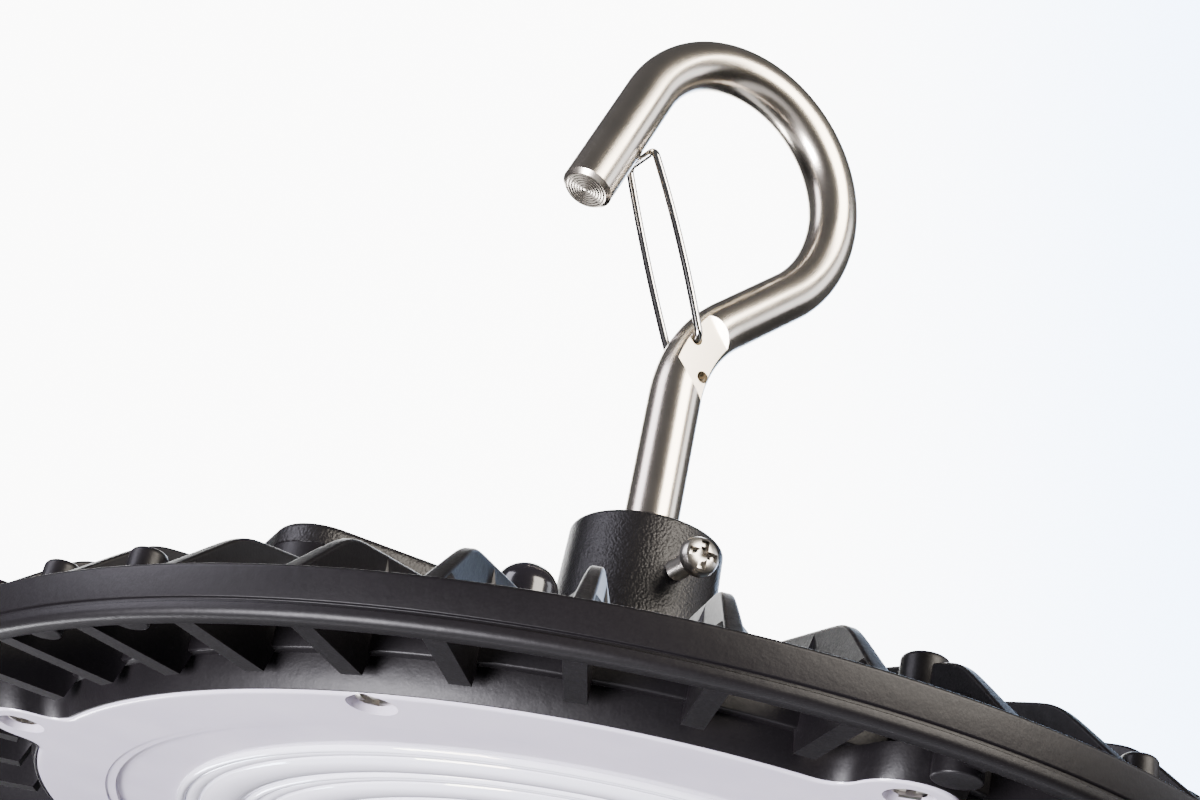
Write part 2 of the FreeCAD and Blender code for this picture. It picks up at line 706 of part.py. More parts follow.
def make_hook():
    """Round bar bent to a hook, with milled flats and two cross holes at the neck."""
    body = new_body("hook")
    path = new_sketch(body, "BarPath", "XZ_Plane")
    centre_x, centre_z = number("loop_offset"), number("boss_top + loop_height")
    loop, back, neck = number("loop_radius"), number("back_bend"), number("neck_bend")
    lean, tip = math.radians(number("neck_angle")), math.radians(number("tip_angle"))
    upright = FreeCAD.Vector(0, 0, 1)
    loop_centre = FreeCAD.Vector(centre_x, centre_z, 0)
    back_centre = FreeCAD.Vector(centre_x + loop - back, centre_z, 0)
    across = FreeCAD.Vector(math.sin(lean), -math.cos(lean), 0)
    lean_top = back_centre + across * back
    along = FreeCAD.Vector(-math.cos(lean), -math.sin(lean), 0)
    lean_end = lean_top + along * ((lean_top.x - neck * (1 - math.sin(lean))) / math.cos(lean))
    neck_centre = lean_end + across * neck
    tip_top = loop_centre + FreeCAD.Vector(-math.sin(tip), math.cos(tip), 0) * loop
    tip_end = tip_top - FreeCAD.Vector(math.cos(tip), math.sin(tip), 0) * number("tip_length")
    stem_end = FreeCAD.Vector(0, number("stem_end"), 0)
    stem = path.addGeometry(Part.LineSegment(stem_end, FreeCAD.Vector(0, neck_centre.y, 0)))
    neck_arc = path.addGeometry(Part.ArcOfCircle(
        Part.Circle(neck_centre, upright, neck), math.pi / 2 + lean, math.pi))
    slope = path.addGeometry(Part.LineSegment(lean_end, lean_top))
    back_arc = path.addGeometry(Part.ArcOfCircle(
        Part.Circle(back_centre, upright, back), lean - math.pi / 2, 0))
    loop_arc = path.addGeometry(Part.ArcOfCircle(
        Part.Circle(loop_centre, upright, loop), 0, math.pi / 2 + tip))
    tip_line = path.addGeometry(Part.LineSegment(tip_top, tip_end))
    joins = ((stem, 2, neck_arc, 2), (neck_arc, 1, slope, 1), (slope, 2, back_arc, 1),
             (back_arc, 2, loop_arc, 1), (loop_arc, 2, tip_line, 1))
    for join in joins:
        path.addConstraint(Sketcher.Constraint("Tangent", *join))
    pin_point(path, stem, 1, "0", "stem_end")
    path.addConstraint(Sketcher.Constraint("Vertical", stem))
    constrain(path, "Radius", neck_arc, size="neck_bend")
    constrain(path, "Radius", back_arc, size="back_bend")
    constrain(path, "Radius", loop_arc, size="loop_radius")
    pin_point(path, loop_arc, 3, "loop_offset", "boss_top + loop_height")
    constrain(path, "DistanceY", -1, 1, back_arc, 3, size="boss_top + loop_height")
    constrain(path, "DistanceY", -1, 1, neck_arc, 3, size=NECK_CENTRE_HEIGHT)
    pin_point(path, tip_line, 2, TIP_END[0], TIP_END[1])

    ring = new_sketch(body, "BarSection", "XY_Plane", "stem_end")
    add_circle(ring, "0", "0", "bar_radius")
    bar = body.newObject("PartDesign::AdditivePipe", "Bar")
    bar.Profile, bar.Spine = ring, path
    body.Tip = bar
    doc.recompute()
    ends = [f"Edge{index}" for index, edge in enumerate(bar.Shape.Edges, start=1)
            if edge.Closed and edge.isClosed() and (
                at_height(edge, number("stem_end")) or edge.BoundBox.XMax < tip_end.x + 5
                and edge.BoundBox.ZMax < tip_end.y + 2)]
    chamfer = body.newObject("PartDesign::Chamfer", "BarEnds")
    chamfer.Base = (bar, ends)
    chamfer.setExpression("Size", formula("tip_chamfer"))
    body.Tip = chamfer

    half, wide = "flat_length / 2", "bar_radius + 3"
    spots = []
    for run, side in ((f"-{half}", f"-({wide})"), (half, f"-({wide})"), (half, f"({wide})"),
                      (f"-{half}", f"({wide})")):
        spots.append((f"flat_offset + {run} * cos(neck_angle * 1deg)"
                      f" - {side} * sin(neck_angle * 1deg)",
                      f"boss_top + flat_height + {run} * sin(neck_angle * 1deg)"
                      f" + {side} * cos(neck_angle * 1deg)"))
    for name, offset, near in (("NearFlat", "flat_across / 2", True),
                               ("FarFlat", "-flat_across / 2", False)):
        flat = new_sketch(body, name + "Outline", "XZ_Plane", offset)
        add_outline(flat, spots)
        add_feature(body, "Pocket", flat, name, Length="bar_radius", Reversed=near)
    holes = new_sketch(body, "PivotCircles", "XZ_Plane", "bar_radius")
    add_circles(holes, [NEAR_PIVOT, FAR_PIVOT], "pivot_hole")
    add_feature(body, "Pocket", holes, "PivotHoles", Length="2 * bar_radius")
    body.Placement = HOOK_TURN
    return body


def bent_rod(label, corners, bend, radius):
    """A round rod through the corner points, with every corner bent to the same radius."""
    spots = [FreeCAD.Vector(*[number(value) for value in corner]) for corner in corners]
    bend = number(bend)
    edges = []
    start = spots[0]
    for before, here, after in zip(spots, spots[1:], spots[2:]):
        back, ahead = (before - here).normalize(), (after - here).normalize()
        half = back.getAngle(ahead) / 2
        trim = bend / math.tan(half)
        middle = here + (back + ahead).normalize() * (bend / math.sin(half) - bend)
        edges.append(Part.LineSegment(start, here + back * trim).toShape())
        edges.append(Part.Arc(here + back * trim, middle, here + ahead * trim).toShape())
        start = here + ahead * trim
    edges.append(Part.LineSegment(start, spots[-1]).toShape())
    section = Part.Wire(Part.Circle(spots[0], spots[1] - spots[0], number(radius)).toShape())
    rod = doc.addObject("Part::Feature", label)
    rod.Shape = Part.Wire(edges).makePipeShell([section], True, True)
    rod.Label = label
    return rod


def make_latch():
    """Wire gate: its two ends sit in the hook's cross holes, its bow rests on the tip."""
    stub = "flat_across / 2 - wire_stub"
    push = "(bar_radius + wire_radius + latch_gap)"
    bow = (f"{TIP_END[0]} + latch_reach * cos(tip_angle * 1deg) + {push} * sin(tip_angle * 1deg)",
           f"{TIP_END[1]} + latch_reach * sin(tip_angle * 1deg) - {push} * cos(tip_angle * 1deg)")
    latch = bent_rod("hook_latch", [
        (NEAR_PIVOT[0], f"-({stub})", NEAR_PIVOT[1]),
        (NEAR_PIVOT[0], "-wire_spread", NEAR_PIVOT[1]),
        (bow[0], "-wire_spread", bow[1]), (bow[0], "wire_spread", bow[1]),
        (FAR_PIVOT[0], "wire_spread", FAR_PIVOT[1]), (FAR_PIVOT[0], stub, FAR_PIVOT[1])],
        "wire_bend", "wire_radius")
    latch.Placement = HOOK_TURN
    return latch


def make_hook_washer():
    """Washer under the lid, round the hook's stem."""
    bottom = "box_top - washer_thickness"
    disc = new_cylinder("washer_disc", "washer_radius", "washer_thickness", z=bottom)
    bore = new_cylinder("washer_bore", "bar_radius + stem_gap", "washer_thickness", z=bottom)
    return cut("hook_washer", disc, bore)


def make_hook_nut():
    """Hexagon nut that holds the hook in the lid."""
    bottom = "box_top - washer_thickness - nut_height"
    block = new_prism("nut_block", "nut_across", "nut_height", z=bottom)
    bore = new_cylinder("nut_bore", "bar_radius + stem_gap", "nut_height", z=bottom)
    return cut("hook_nut", block, bore)


# ---------------------------------------------------------------- lens
def make_lens():
    """One moulded cover: rim wall, tongue, screw pockets, lobes and six ring optics."""
    body = new_body("lens")
    section = new_sketch(body, "WallSection", "XZ_Plane")
    inside = "lens_face + plate_thickness"
    deep, step = "lens_face + ring_depth", "lens_face + step_depth"
    tongue = ["tongue_radius + tongue_width / 2", "tongue_radius - tongue_width / 2"]
    add_outline(section, [("0", deep), ("optic_radius", deep), ("optic_radius", step),
                          ("step_radius", step), ("step_radius", "lens_face"),
                          ("lens_radius", "lens_face"), ("lens_radius", "base_seat"),
                          ("lens_radius - lens_wall", "base_seat"),
                          ("lens_radius - lens_wall", inside), (tongue[0], inside),
                          (tongue[0], "base_seat"), (tongue[1], "base_seat"),
                          (tongue[1], inside), ("0", inside)])
    body.Tip = add_turned(body, "Revolution", section, "Wall")
    rings = new_sketch(body, "RingSections", "XZ_Plane")
    for index in range(int(number("ring_count"))):
        middle = f"optic_radius - ring_pitch * {index + 0.5}"
        add_outline(rings, [(f"{middle} - ring_half", deep + " + 0.2"),
                            (f"{middle} - ring_half", deep),
                            (f"{middle} - ring_crown", "lens_face", "ring_rounding"),
                            (f"{middle} + ring_crown", "lens_face", "ring_rounding"),
                            (f"{middle} + ring_half", deep),
                            (f"{middle} + ring_half", deep + " + 0.2")])
    body.Tip = add_turned(body, "Revolution", rings, "RingOptics")
    body.Tip = round_pads(body, "Pillars", MIDDLES, "pocket_radius + pocket_wall", "lens_face",
                          "base_seat")
    outside = new_sketch(body, "EdgeTrimSection", "XZ_Plane")
    add_outline(outside, [("lens_radius", "-1"), ("lens_radius + 8", "-1"),
                          ("lens_radius + 8", "base_seat + 1"), ("lens_radius", "base_seat + 1")])
    body.Tip = add_turned(body, "Groove", outside, "EdgeTrim")
    body.Tip = round_pads(body, "Lobes", ring_spots("lobe_centre", 4, 0), "lobe_radius",
                          "lens_face", "base_seat")
    body.Tip.Refine = True
    edge_radius = number("lens_radius")

    def is_corner(edge):
        box = edge.BoundBox
        radius = math.hypot(box.Center.x, box.Center.y)
        sideways = min(abs(box.Center.x), abs(box.Center.y))
        return box.DiagonalLength < 6 and abs(radius - edge_radius) < 0.2 and 2 < sideways < 12

    body.Tip = add_fillet(body, "LobeBlends", "lobe_blend", is_corner)
    face = number("lens_face")

    def is_outer_edge(edge):
        middle = edge.valueAt((edge.FirstParameter + edge.LastParameter) / 2)
        return at_height(edge, face) and math.hypot(middle.x, middle.y) > edge_radius - 0.1

    body.Tip = add_fillet(body, "FaceEdge", "lens_edge", is_outer_edge)
    body.Tip = round_holes(body, "ScrewPockets", LOBES + MIDDLES, "pocket_radius", "lens_face",
                           "pocket_depth", up=True)
    body.Tip = round_holes(body, "ScrewHoles", LOBES + MIDDLES, "screw_clearance",
                           "lens_face + pocket_depth", "base_seat - lens_face - pocket_depth",
                           up=True)
    return body


def make_lens_gasket():
    """Rubber ring in the seat's groove. The lens presses its tongue on it."""
    body = new_body("lens_gasket")
    section = new_sketch(body, "GasketSection", "XZ_Plane")
    inner = "tongue_radius - tongue_width / 2 + gasket_play"
    outer = "tongue_radius + tongue_width / 2 - gasket_play"
    top = "base_seat + lens_gasket_depth"
    add_outline(section, [(inner, "base_seat"), (outer, "base_seat"), (outer, top), (inner, top)])
    add_turned(body, "Revolution", section, "GasketRing")
    return body


# ---------------------------------------------------------------- light source
def make_disc(label, bottom, thickness):
    """A disc in the lamp's recess, with holes for the board screws and the leads."""
    disc = new_cylinder(label + "_disc", "board_radius", thickness, z=bottom)
    holes = [new_cylinder(f"{label}_hole_{index}", "board_screw_radius + 0.1", thickness, x, y,
                          bottom) for index, (x, y) in enumerate(BOARD_SCREWS)]
    holes.append(new_cylinder(label + "_lead_hole", "lead_hole", thickness, *LEAD_HOLE, bottom))
    result = cut(label, disc, *holes)
    result.Label = label
    return result


PAD_BOTTOM = "base_ceiling - pad_thickness"
BOARD_BOTTOM = PAD_BOTTOM + " - board_thickness"


def make_chips():
    """Square light emitting chips in rings, one ring behind each ring optic."""
    body = new_body("led_chips")
    for index in range(int(number("ring_count"))):
        radius = f"optic_radius - ring_pitch * {index + 0.5}"
        count = 4 * round(number(radius) / 11)
        start = 180.0 / count
        spots = new_sketch(body, f"ChipOutline{index}", "XY_Plane",
                           BOARD_BOTTOM + " - chip_height")
        add_outline(spots, [
            (f"({radius}) * cos({start}deg) + {run} * chip_size / 2 * cos({start}deg)"
             f" - {side} * chip_size / 2 * sin({start}deg)",
             f"({radius}) * sin({start}deg) + {run} * chip_size / 2 * sin({start}deg)"
             f" + {side} * chip_size / 2 * cos({start}deg)")
            for run, side in ((-1, -1), (1, -1), (1, 1), (-1, 1))])
        chip = add_feature(body, "Pad", spots, f"Chip{index}", Length="chip_height")
        pattern = add_ring_of(body, chip, f"Chips{index}", str(count))
        pattern.Refine = False
    return body


def make_leads():
    """Two insulated wires from the output terminal through the grommet to the board."""
    wires = []
    for name, side in (("plus", "lead_spacing / 2"), ("minus", "-lead_spacing / 2")):
        under = BOARD_BOTTOM + " - lead_radius"
        wires.append(bent_rod("lead_" + name, [
            ("terminal_end", side, "lead_height"), (LEAD_HOLE[0], side, "lead_height"),
            (LEAD_HOLE[0], side, under), (LEAD_HOLE[0] + " - lead_run", side, under)],
            "lead_bend", "lead_radius"))
    return group("led_leads", wires)


def make_grommet():
    """Rubber bush that lines the lead hole, with a flange on the compartment's floor."""
    sleeve = new_cylinder("grommet_sleeve", "lead_hole - gasket_play", "base_top - base_ceiling",
                          *LEAD_HOLE, "base_ceiling")
    flange = new_cylinder("grommet_flange_disc", "grommet_flange", "grommet_height", *LEAD_HOLE,
                          "base_top")
    bore = new_cylinder("grommet_bore_hole", "grommet_bore", "base_top + grommet_height",
                        *LEAD_HOLE)
    return cut("lead_grommet", fuse("grommet_body", sleeve, flange), bore)


# ---------------------------------------------------------------- driver
CIRCUIT_BOTTOM = "base_top + post_height"
CIRCUIT_TOP = CIRCUIT_BOTTOM + " + circuit_thickness"
CIRCUIT_MIDDLE = "circuit_start + circuit_length / 2"


def make_sheet(label, bottom, thickness, hole, *more_tools):
    """A flat sheet of the circuit's outline, with holes round the posts."""
    slab = new_box(label + "_slab", "circuit_length", "circuit_width", thickness,
                   CIRCUIT_MIDDLE, "0", bottom)
    tools = [new_cylinder(f"{label}_post_{index}", hole, thickness, x, y, bottom)
             for index, (x, y) in enumerate(POSTS)]
    tools += [new_cylinder(f"{label}_notch_{index}", "circuit_notch", thickness, x, y, bottom)
              for index, (x, y) in enumerate(LID_SCREWS[4:])]
    return cut(label, slab, *tools, *more_tools)


def make_insulator():
    """Film on the compartment's floor, cut out round the posts and the grommet."""
    room = new_cylinder("insulator_room", "grommet_flange + 0.3", "insulator_thickness",
                        *LEAD_HOLE, "base_top")
    return make_sheet("driver_insulator", "base_top", "insulator_thickness",
                      "post_radius + 0.3", room)


def make_part_on_circuit(label, length, width, height, x, y="0"):
    """A boxy component that stands on the circuit board."""
    body = new_body(label)
    outline = new_sketch(body, label + "Outline", "XY_Plane", CIRCUIT_TOP)
    add_outline(outline, [(f"{x} - ({length}) / 2", f"{y} - ({width}) / 2", "0.6"),
                          (f"{x} + ({length}) / 2", f"{y} - ({width}) / 2", "0.6"),
                          (f"{x} + ({length}) / 2", f"{y} + ({width}) / 2", "0.6"),
                          (f"{x} - ({length}) / 2", f"{y} + ({width}) / 2", "0.6")])
    add_feature(body, "Pad", outline, label + "Block", Length=height)
    return body


def make_transformer():
    """Ferrite core round a taped winding."""
    winding = new_cylinder("winding", "transformer_coil", "transformer_height - 4",
                           "transformer_place", "0", CIRCUIT_TOP + " + 2")
    yokes = [new_box(f"yoke_{index}", "transformer_length", "transformer_width", "2",
                     "transformer_place", "0", CIRCUIT_TOP + rise)
             for index, rise in enumerate(("", " + transformer_height - 2"))]
    legs = [new_box(f"leg_{index}", "3", "transformer_width", "transformer_height",
                    f"transformer_place {sign} (transformer_length / 2 - 1.5)", "0", CIRCUIT_TOP)
            for index, sign in enumerate("+-")]
    return fuse("transformer", winding, *yokes, *legs)


def make_choke():
    """Ring core choke lying flat on the board."""
    outer = new_cylinder("choke_outer", "choke_radius", "choke_height", "choke_place", "0",
                         CIRCUIT_TOP)
    inner = new_cylinder("choke_inner", "choke_bore", "choke_height", "choke_place", "0",
                         CIRCUIT_TOP)
    return cut("choke", outer, inner)


def make_cans():
    """Two upright storage capacitors."""
    cans = [new_cylinder(f"can_{index}", "can_radius", "can_height", "can_place",
                         side + "can_side", CIRCUIT_TOP) for index, side in enumerate(("", "-"))]
    return group("storage_capacitors", cans)


def make_transistors():
    """Flat power packages under the hook's nut."""
    chips = [new_box(f"package_{index}", "6.5", "6.2", "2.3", side + "transistor_place", "0",
                     CIRCUIT_TOP) for index, side in enumerate(("", "-"))]
    return group("transistors", chips)


# ---------------------------------------------------------------- seals, vent and gland
def make_lid_gasket():
    """Flat rubber frame in the groove of the compartment's wall."""
    body = new_body("lid_gasket")
    frame = new_sketch(body, "GasketOutline", "XY_Plane", "box_top - gasket_depth")
    for inset in ("gasket_inset + gasket_play", "gasket_inset + gasket_width - gasket_play"):
        add_outline(frame, box_corners(f"box_length - 2 * ({inset})",
                                       f"box_width - 2 * ({inset})", f"box_corner - ({inset})"))
    add_feature(body, "Pad", frame, "GasketFrame", Length="gasket_depth")
    return body


def make_ring(name, inner, outer, bottom, height, x="0", y="0", along="Z"):
    """A plain ring that stands on its lower face, or lies along +X from that face."""
    spot = (x, y, bottom) if along == "Z" else (bottom, y, x)
    disc = new_cylinder(name + "_outer", outer, height, *spot, along=along)
    bore = new_cylinder(name + "_inner", inner, height, *spot, along=along)
    return cut(name, disc, bore)


def make_screw_seals():
    """Sealing washers under the heads of the lid screws."""
    return group("lid_screw_seals", [
        make_ring(f"seal_{index}", "screw_radius + gasket_play", "screw_head_radius + 0.2",
                  LID_TOP + " - screw_pocket_depth", "screw_seal_height", x, y)
        for index, (x, y) in enumerate(LID_SCREWS)])


def make_vent_plug():
    """Breather plug: threaded stem, hexagon flange and domed cap."""
    seat = LID_TOP + " + vent_seal_height"
    spot = ("vent_place", "vent_side")
    stem = new_cylinder("vent_stem_bar", "vent_thread", "vent_stem + vent_seal_height", *spot,
                        LID_TOP + " - vent_stem")
    flange = new_prism("vent_hexagon", "vent_flange * 1.75", "vent_flange_height", *spot, seat)
    cap = new_cylinder("vent_cap_bar", "vent_cap",
                       "vent_cap_height - vent_seal_height - vent_cap", *spot, seat)
    dome = doc.addObject("Part::Sphere", "vent_dome")
    dome.setExpression("Radius", formula("vent_cap"))
    place(dome, *spot, LID_TOP + " + vent_cap_height - vent_cap")
    return fuse("vent_plug", stem, flange, cap, dome)


GLAND_SHOULDER = GLAND_FACE + " + gland_seal_height"
NECK_LENGTH = "7"


def make_gland_body():
    """Threaded gland body with a hexagon, bored through for the cable."""
    height = "gland_height"
    thread = new_cylinder("gland_thread_bar", "gland_thread", "gland_inside",
                          GLAND_SHOULDER + " - gland_inside", "0", height, along="X")
    hexagon = new_prism("gland_hexagon", "gland_across", "gland_hex", GLAND_SHOULDER, "0",
                        height, along="X")
    neck = new_cylinder("gland_neck_bar", "gland_neck", NECK_LENGTH,
                        GLAND_SHOULDER + " + gland_hex", "0", height, along="X")
    bore = new_cylinder("gland_bore_hole", "gland_bore", "gland_inside + gland_hex + 8",
                        GLAND_SHOULDER + " - gland_inside", "0", height, along="X")
    return cut("gland_body", fuse("gland_solid", thread, hexagon, neck), bore)


def make_gland_nut():
    """Domed hexagon nut that closes on the rubber insert."""
    start = GLAND_SHOULDER + " + gland_hex"
    prism = new_prism("gland_nut_prism", "gland_across", "gland_nut_length", start, "0",
                      "gland_height", along="X")
    dome = doc.addObject("Part::Sphere", "gland_nut_dome")
    dome.setExpression("Radius", formula("gland_nut_length + 1.2"))
    place(dome, start, "0", "gland_height")
    shell = doc.addObject("Part::MultiCommon", "gland_nut_shell")
    shell.Shapes = [prism, dome]
    thread = new_cylinder("gland_nut_thread", "gland_neck + gland_play", "gland_nut_length - 2",
                          start, "0", "gland_height", along="X")
    mouth = new_cylinder("gland_nut_mouth", "gland_bore", "gland_nut_length", start, "0",
                         "gland_height", along="X")
    return cut("gland_nut", shell, thread, mouth)


def make_locknut():
    """Hexagon locknut on the gland's thread, inside the compartment."""
    start = "box_length / 2 - box_wall - locknut_height"
    block = new_prism("locknut_block", "gland_across", "locknut_height", start, "0",
                      "gland_height", along="X")
    bore = new_cylinder("locknut_bore", "gland_thread + gland_play", "locknut_height", start,
                        "0", "gland_height", along="X")
    return cut("gland_locknut", block, bore)


# ---------------------------------------------------------------- build all nodes
LENS_SCREW_SEAT = "lens_face + pocket_depth"
NODES = [
    make_heatsink(),
    make_lid(),
    make_lid_gasket(),
    make_screw_seals(),
    make_screws("lid_screws", LID_SCREWS, LID_TOP + " - screw_pocket_depth + screw_seal_height",
                "lid_screw_length"),
    make_hook(),
    make_latch(),
    make_lock_screw(),
    make_hook_washer(),
    make_hook_nut(),
    make_lens(),
    make_lens_gasket(),
    make_screws("lens_screws", LOBES + MIDDLES, LENS_SCREW_SEAT, "lens_screw_length",
                turned=UPSIDE_DOWN),
    make_disc("thermal_pad", PAD_BOTTOM, "pad_thickness"),
    make_disc("led_board", BOARD_BOTTOM, "board_thickness"),
    make_chips(),
    make_screws("board_screws", BOARD_SCREWS, BOARD_BOTTOM, "board_screw_length", small=True,
                turned=UPSIDE_DOWN),
    make_leads(),
    make_grommet(),
    make_insulator(),
    make_sheet("driver_board", CIRCUIT_BOTTOM, "circuit_thickness", "board_screw_radius + 0.1"),
    make_screws("driver_screws", POSTS, CIRCUIT_TOP, "driver_screw_length", small=True),
    make_screws("earth_screw", [EARTH], CIRCUIT_BOTTOM, "board_screw_length", small=True),
    make_transformer(),
    make_choke(),
    make_cans(),
    make_transistors(),
    make_part_on_circuit("film_capacitor", "film_length", "film_width", "film_height",
                         "film_place"),
    make_part_on_circuit("input_terminal", "terminal_length", "7", "terminal_height",
                         "terminal_end - terminal_length / 2", "input_side"),
    make_part_on_circuit("output_terminal", "terminal_length", "6", "terminal_height",
                         "terminal_end - terminal_length / 2"),
    make_ring("vent_seal", "vent_thread + gasket_play", "vent_flange - 0.4", LID_TOP,
              "vent_seal_height", "vent_place", "vent_side"),
    make_vent_plug(),
    make_ring("gland_seal", "gland_thread + gland_play", "7.3", GLAND_FACE,
              "gland_seal_height", "gland_height", along="X"),
    make_gland_body(),
    make_ring("gland_insert", "gland_bore", "gland_neck", f"{GLAND_SHOULDER} + gland_hex + 7",
              "3", "gland_height", along="X"),
    make_gland_nut(),
    make_locknut(),
]
doc.recompute()

for thing in doc.Objects:
    if "Invalid" in thing.State or "Error" in thing.State:
        raise RuntimeError(f"{thing.Label}: {thing.State}")

os.makedirs("parts", exist_ok=True)
for node in NODES:
    if node.Shape.isNull() or not node.Shape.isValid():
        raise RuntimeError(node.Label + " has no valid shape")
    node.Shape.exportStep(f"parts/{node.Label}.step")
    print(node.Label, len(node.Shape.Solids), round(node.Shape.Volume))
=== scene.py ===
# High bay light: a finned casting with a ring-optic lens below and a hook above.
import math

import bmesh
import bpy
from mathutils import Matrix, Quaternion, Vector


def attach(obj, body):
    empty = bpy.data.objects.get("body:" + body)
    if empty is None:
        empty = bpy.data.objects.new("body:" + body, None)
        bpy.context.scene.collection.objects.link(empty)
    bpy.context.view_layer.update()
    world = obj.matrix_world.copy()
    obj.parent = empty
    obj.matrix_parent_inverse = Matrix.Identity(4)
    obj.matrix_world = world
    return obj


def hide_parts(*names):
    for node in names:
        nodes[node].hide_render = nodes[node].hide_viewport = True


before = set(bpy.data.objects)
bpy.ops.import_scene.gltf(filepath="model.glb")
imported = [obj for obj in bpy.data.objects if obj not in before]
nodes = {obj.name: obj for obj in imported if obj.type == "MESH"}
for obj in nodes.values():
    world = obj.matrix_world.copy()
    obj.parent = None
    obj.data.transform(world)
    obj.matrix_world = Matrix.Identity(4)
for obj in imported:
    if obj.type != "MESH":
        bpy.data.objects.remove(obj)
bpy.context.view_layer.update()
MM = 0.001


# ------------------------------------------------------------ heatsink: rim and base plate
# The main body is one aluminium pressure die casting. Its rim is a drafted wall with a
# rounded lip and a thin groove just above it. Everything on it is satin black powder coat.
def turn_corners(corners, steps=6):
    """Outline points from (radius, height, rounding) corners, with the roundings as arcs."""
    points = []
    for index, (x, y, rounding) in enumerate(corners):
        here = Vector((x, y))
        if not rounding:
            points.append(here)
            continue
        before = Vector(corners[index - 1][:2])
        after = Vector(corners[(index + 1) % len(corners)][:2])
        back, ahead = (before - here).normalized(), (after - here).normalized()
        half = back.angle(ahead) / 2
        trim = rounding / math.tan(half)
        middle = here + (back + ahead).normalized() * (rounding / math.sin(half))
        first = here + back * trim - middle
        swing = first.angle_signed(here + ahead * trim - middle)
        for step in range(steps + 1):
            turned = first.copy()
            turned.rotate(Matrix.Rotation(-swing * step / steps, 2))
            points.append(middle + turned)
    return points


def finish_piece(name, mesh, material, body="lamp", sharp=32):
    """Turns a bmesh in millimetres into a piece of the lamp with smooth, crisp shading."""
    bmesh.ops.remove_doubles(mesh, verts=mesh.verts, dist=0.0005)
    bmesh.ops.recalc_face_normals(mesh, faces=mesh.faces)
    bmesh.ops.scale(mesh, vec=(MM, MM, MM), verts=mesh.verts)
    data = bpy.data.meshes.new(name)
    mesh.to_mesh(data)
    mesh.free()
    data.polygons.foreach_set("use_smooth", [True] * len(data.polygons))
    data.set_sharp_from_angle(angle=math.radians(sharp))
    data.materials.append(material)
    piece = bpy.data.objects.new(name, data)
    bpy.context.scene.collection.objects.link(piece)
    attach(piece, body)
    return piece


def add_turned(mesh, outline, sides, middle=(0, 0), closed=True, turn=None):
    """Turns an outline of (radius, height) points about an upright line through the middle."""
    on_axis = 1e-6
    made = []
    rings = []
    for radius, height in outline:
        if abs(radius) < on_axis:
            ring = [mesh.verts.new((middle[0], middle[1], height))] * sides
        else:
            ring = [mesh.verts.new((middle[0] + radius * math.cos(math.tau * step / sides),
                                    middle[1] + radius * math.sin(math.tau * step / sides),
                                    height)) for step in range(sides)]
        rings.append(ring)
        made += set(ring)
    pairs = list(zip(rings, rings[1:])) + ([(rings[-1], rings[0])] if closed else [])
    for low, high in pairs:
        for step in range(sides):
            corners = [low[step], low[(step + 1) % sides], high[(step + 1) % sides], high[step]]
            corners = [vert for index, vert in enumerate(corners) if vert not in corners[:index]]
            if len(corners) > 2 and not mesh.faces.get(corners):
                mesh.faces.new(corners)
    if turn:
        bmesh.ops.transform(mesh, matrix=turn, verts=list(made))


def linear(hex_colour):
    """An sRGB hex colour as the linear RGBA that the shader sockets take."""
    parts = [int(hex_colour[index:index + 2], 16) / 255 for index in (1, 3, 5)]
    return [part / 12.92 if part <= 0.04045 else ((part + 0.055) / 1.055) ** 2.4
            for part in parts] + [1.0]


def add_node(material, kind, settings=None, **inputs):
    """Adds one node with its settings. Inputs go by socket name, or i0, i1 by place."""
    node = material.node_tree.nodes.new("ShaderNode" + kind)
    for name, value in (settings or {}).items():
        setattr(node, name, value)
    for name, value in inputs.items():
        socket = node.inputs[int(name[1:])] if name[0] == "i" and name[1:].isdigit() \
            else node.inputs[name.replace("_", " ")]
        if isinstance(value, bpy.types.NodeSocket):
            material.node_tree.links.new(value, socket)
        else:
            socket.default_value = value
    return node


def new_material(name, colour, roughness, metallic=0.0):
    """A material with its constants set. Returns it, its shader and the place on the piece."""
    material = bpy.data.materials.new(name)
    material.use_nodes = True
    shader = material.node_tree.nodes["Principled BSDF"]
    shader.inputs["Base Color"].default_value = linear(colour)
    shader.inputs["Roughness"].default_value = roughness
    shader.inputs["Metallic"].default_value = metallic
    place = material.node_tree.nodes.new("ShaderNodeTexCoord").outputs["Object"]
    return material, shader, place


def link(material, output, socket):
    """Joins a node's output to a socket."""
    material.node_tree.links.new(output, socket)


# Satin black powder coat, sprayed and baked: a slight orange peel about 1.6 mm across breaks
# the highlights, and fine grain gives the sheen its tooth. The real grain is under 0.1 mm, too
# fine to show, so it is drawn 0.35 mm across. The tone wanders over 22 mm, as handling leaves it.
satin_coat, coat_shader, place = new_material("satin_black_powder_coat", "#0e0c0e", 0.4)
peel = add_node(satin_coat, "TexNoise", Vector=place, Scale=1 / (1.6 * MM), Detail=2.0)
grain = add_node(satin_coat, "TexNoise", Vector=place, Scale=1 / (0.35 * MM), Detail=3.0)
wear = add_node(satin_coat, "TexNoise", Vector=place, Scale=1 / (22 * MM), Detail=4.0)
tone = add_node(satin_coat, "ValToRGB", Fac=wear.outputs["Fac"])
tone.color_ramp.elements[0].color = linear("#0b090b")
tone.color_ramp.elements[1].color = linear("#110f11")
tone.color_ramp.elements[0].position, tone.color_ramp.elements[1].position = 0.35, 0.7
link(satin_coat, tone.outputs["Color"], coat_shader.inputs["Base Color"])
gloss = add_node(satin_coat, "MapRange", Value=grain.outputs["Fac"])
gloss.inputs["To Min"].default_value, gloss.inputs["To Max"].default_value = 0.34, 0.5
link(satin_coat, gloss.outputs["Result"], coat_shader.inputs["Roughness"])
low_bump = add_node(satin_coat, "Bump", Height=peel.outputs["Fac"], Strength=0.12,
                    Distance=0.3 * MM)
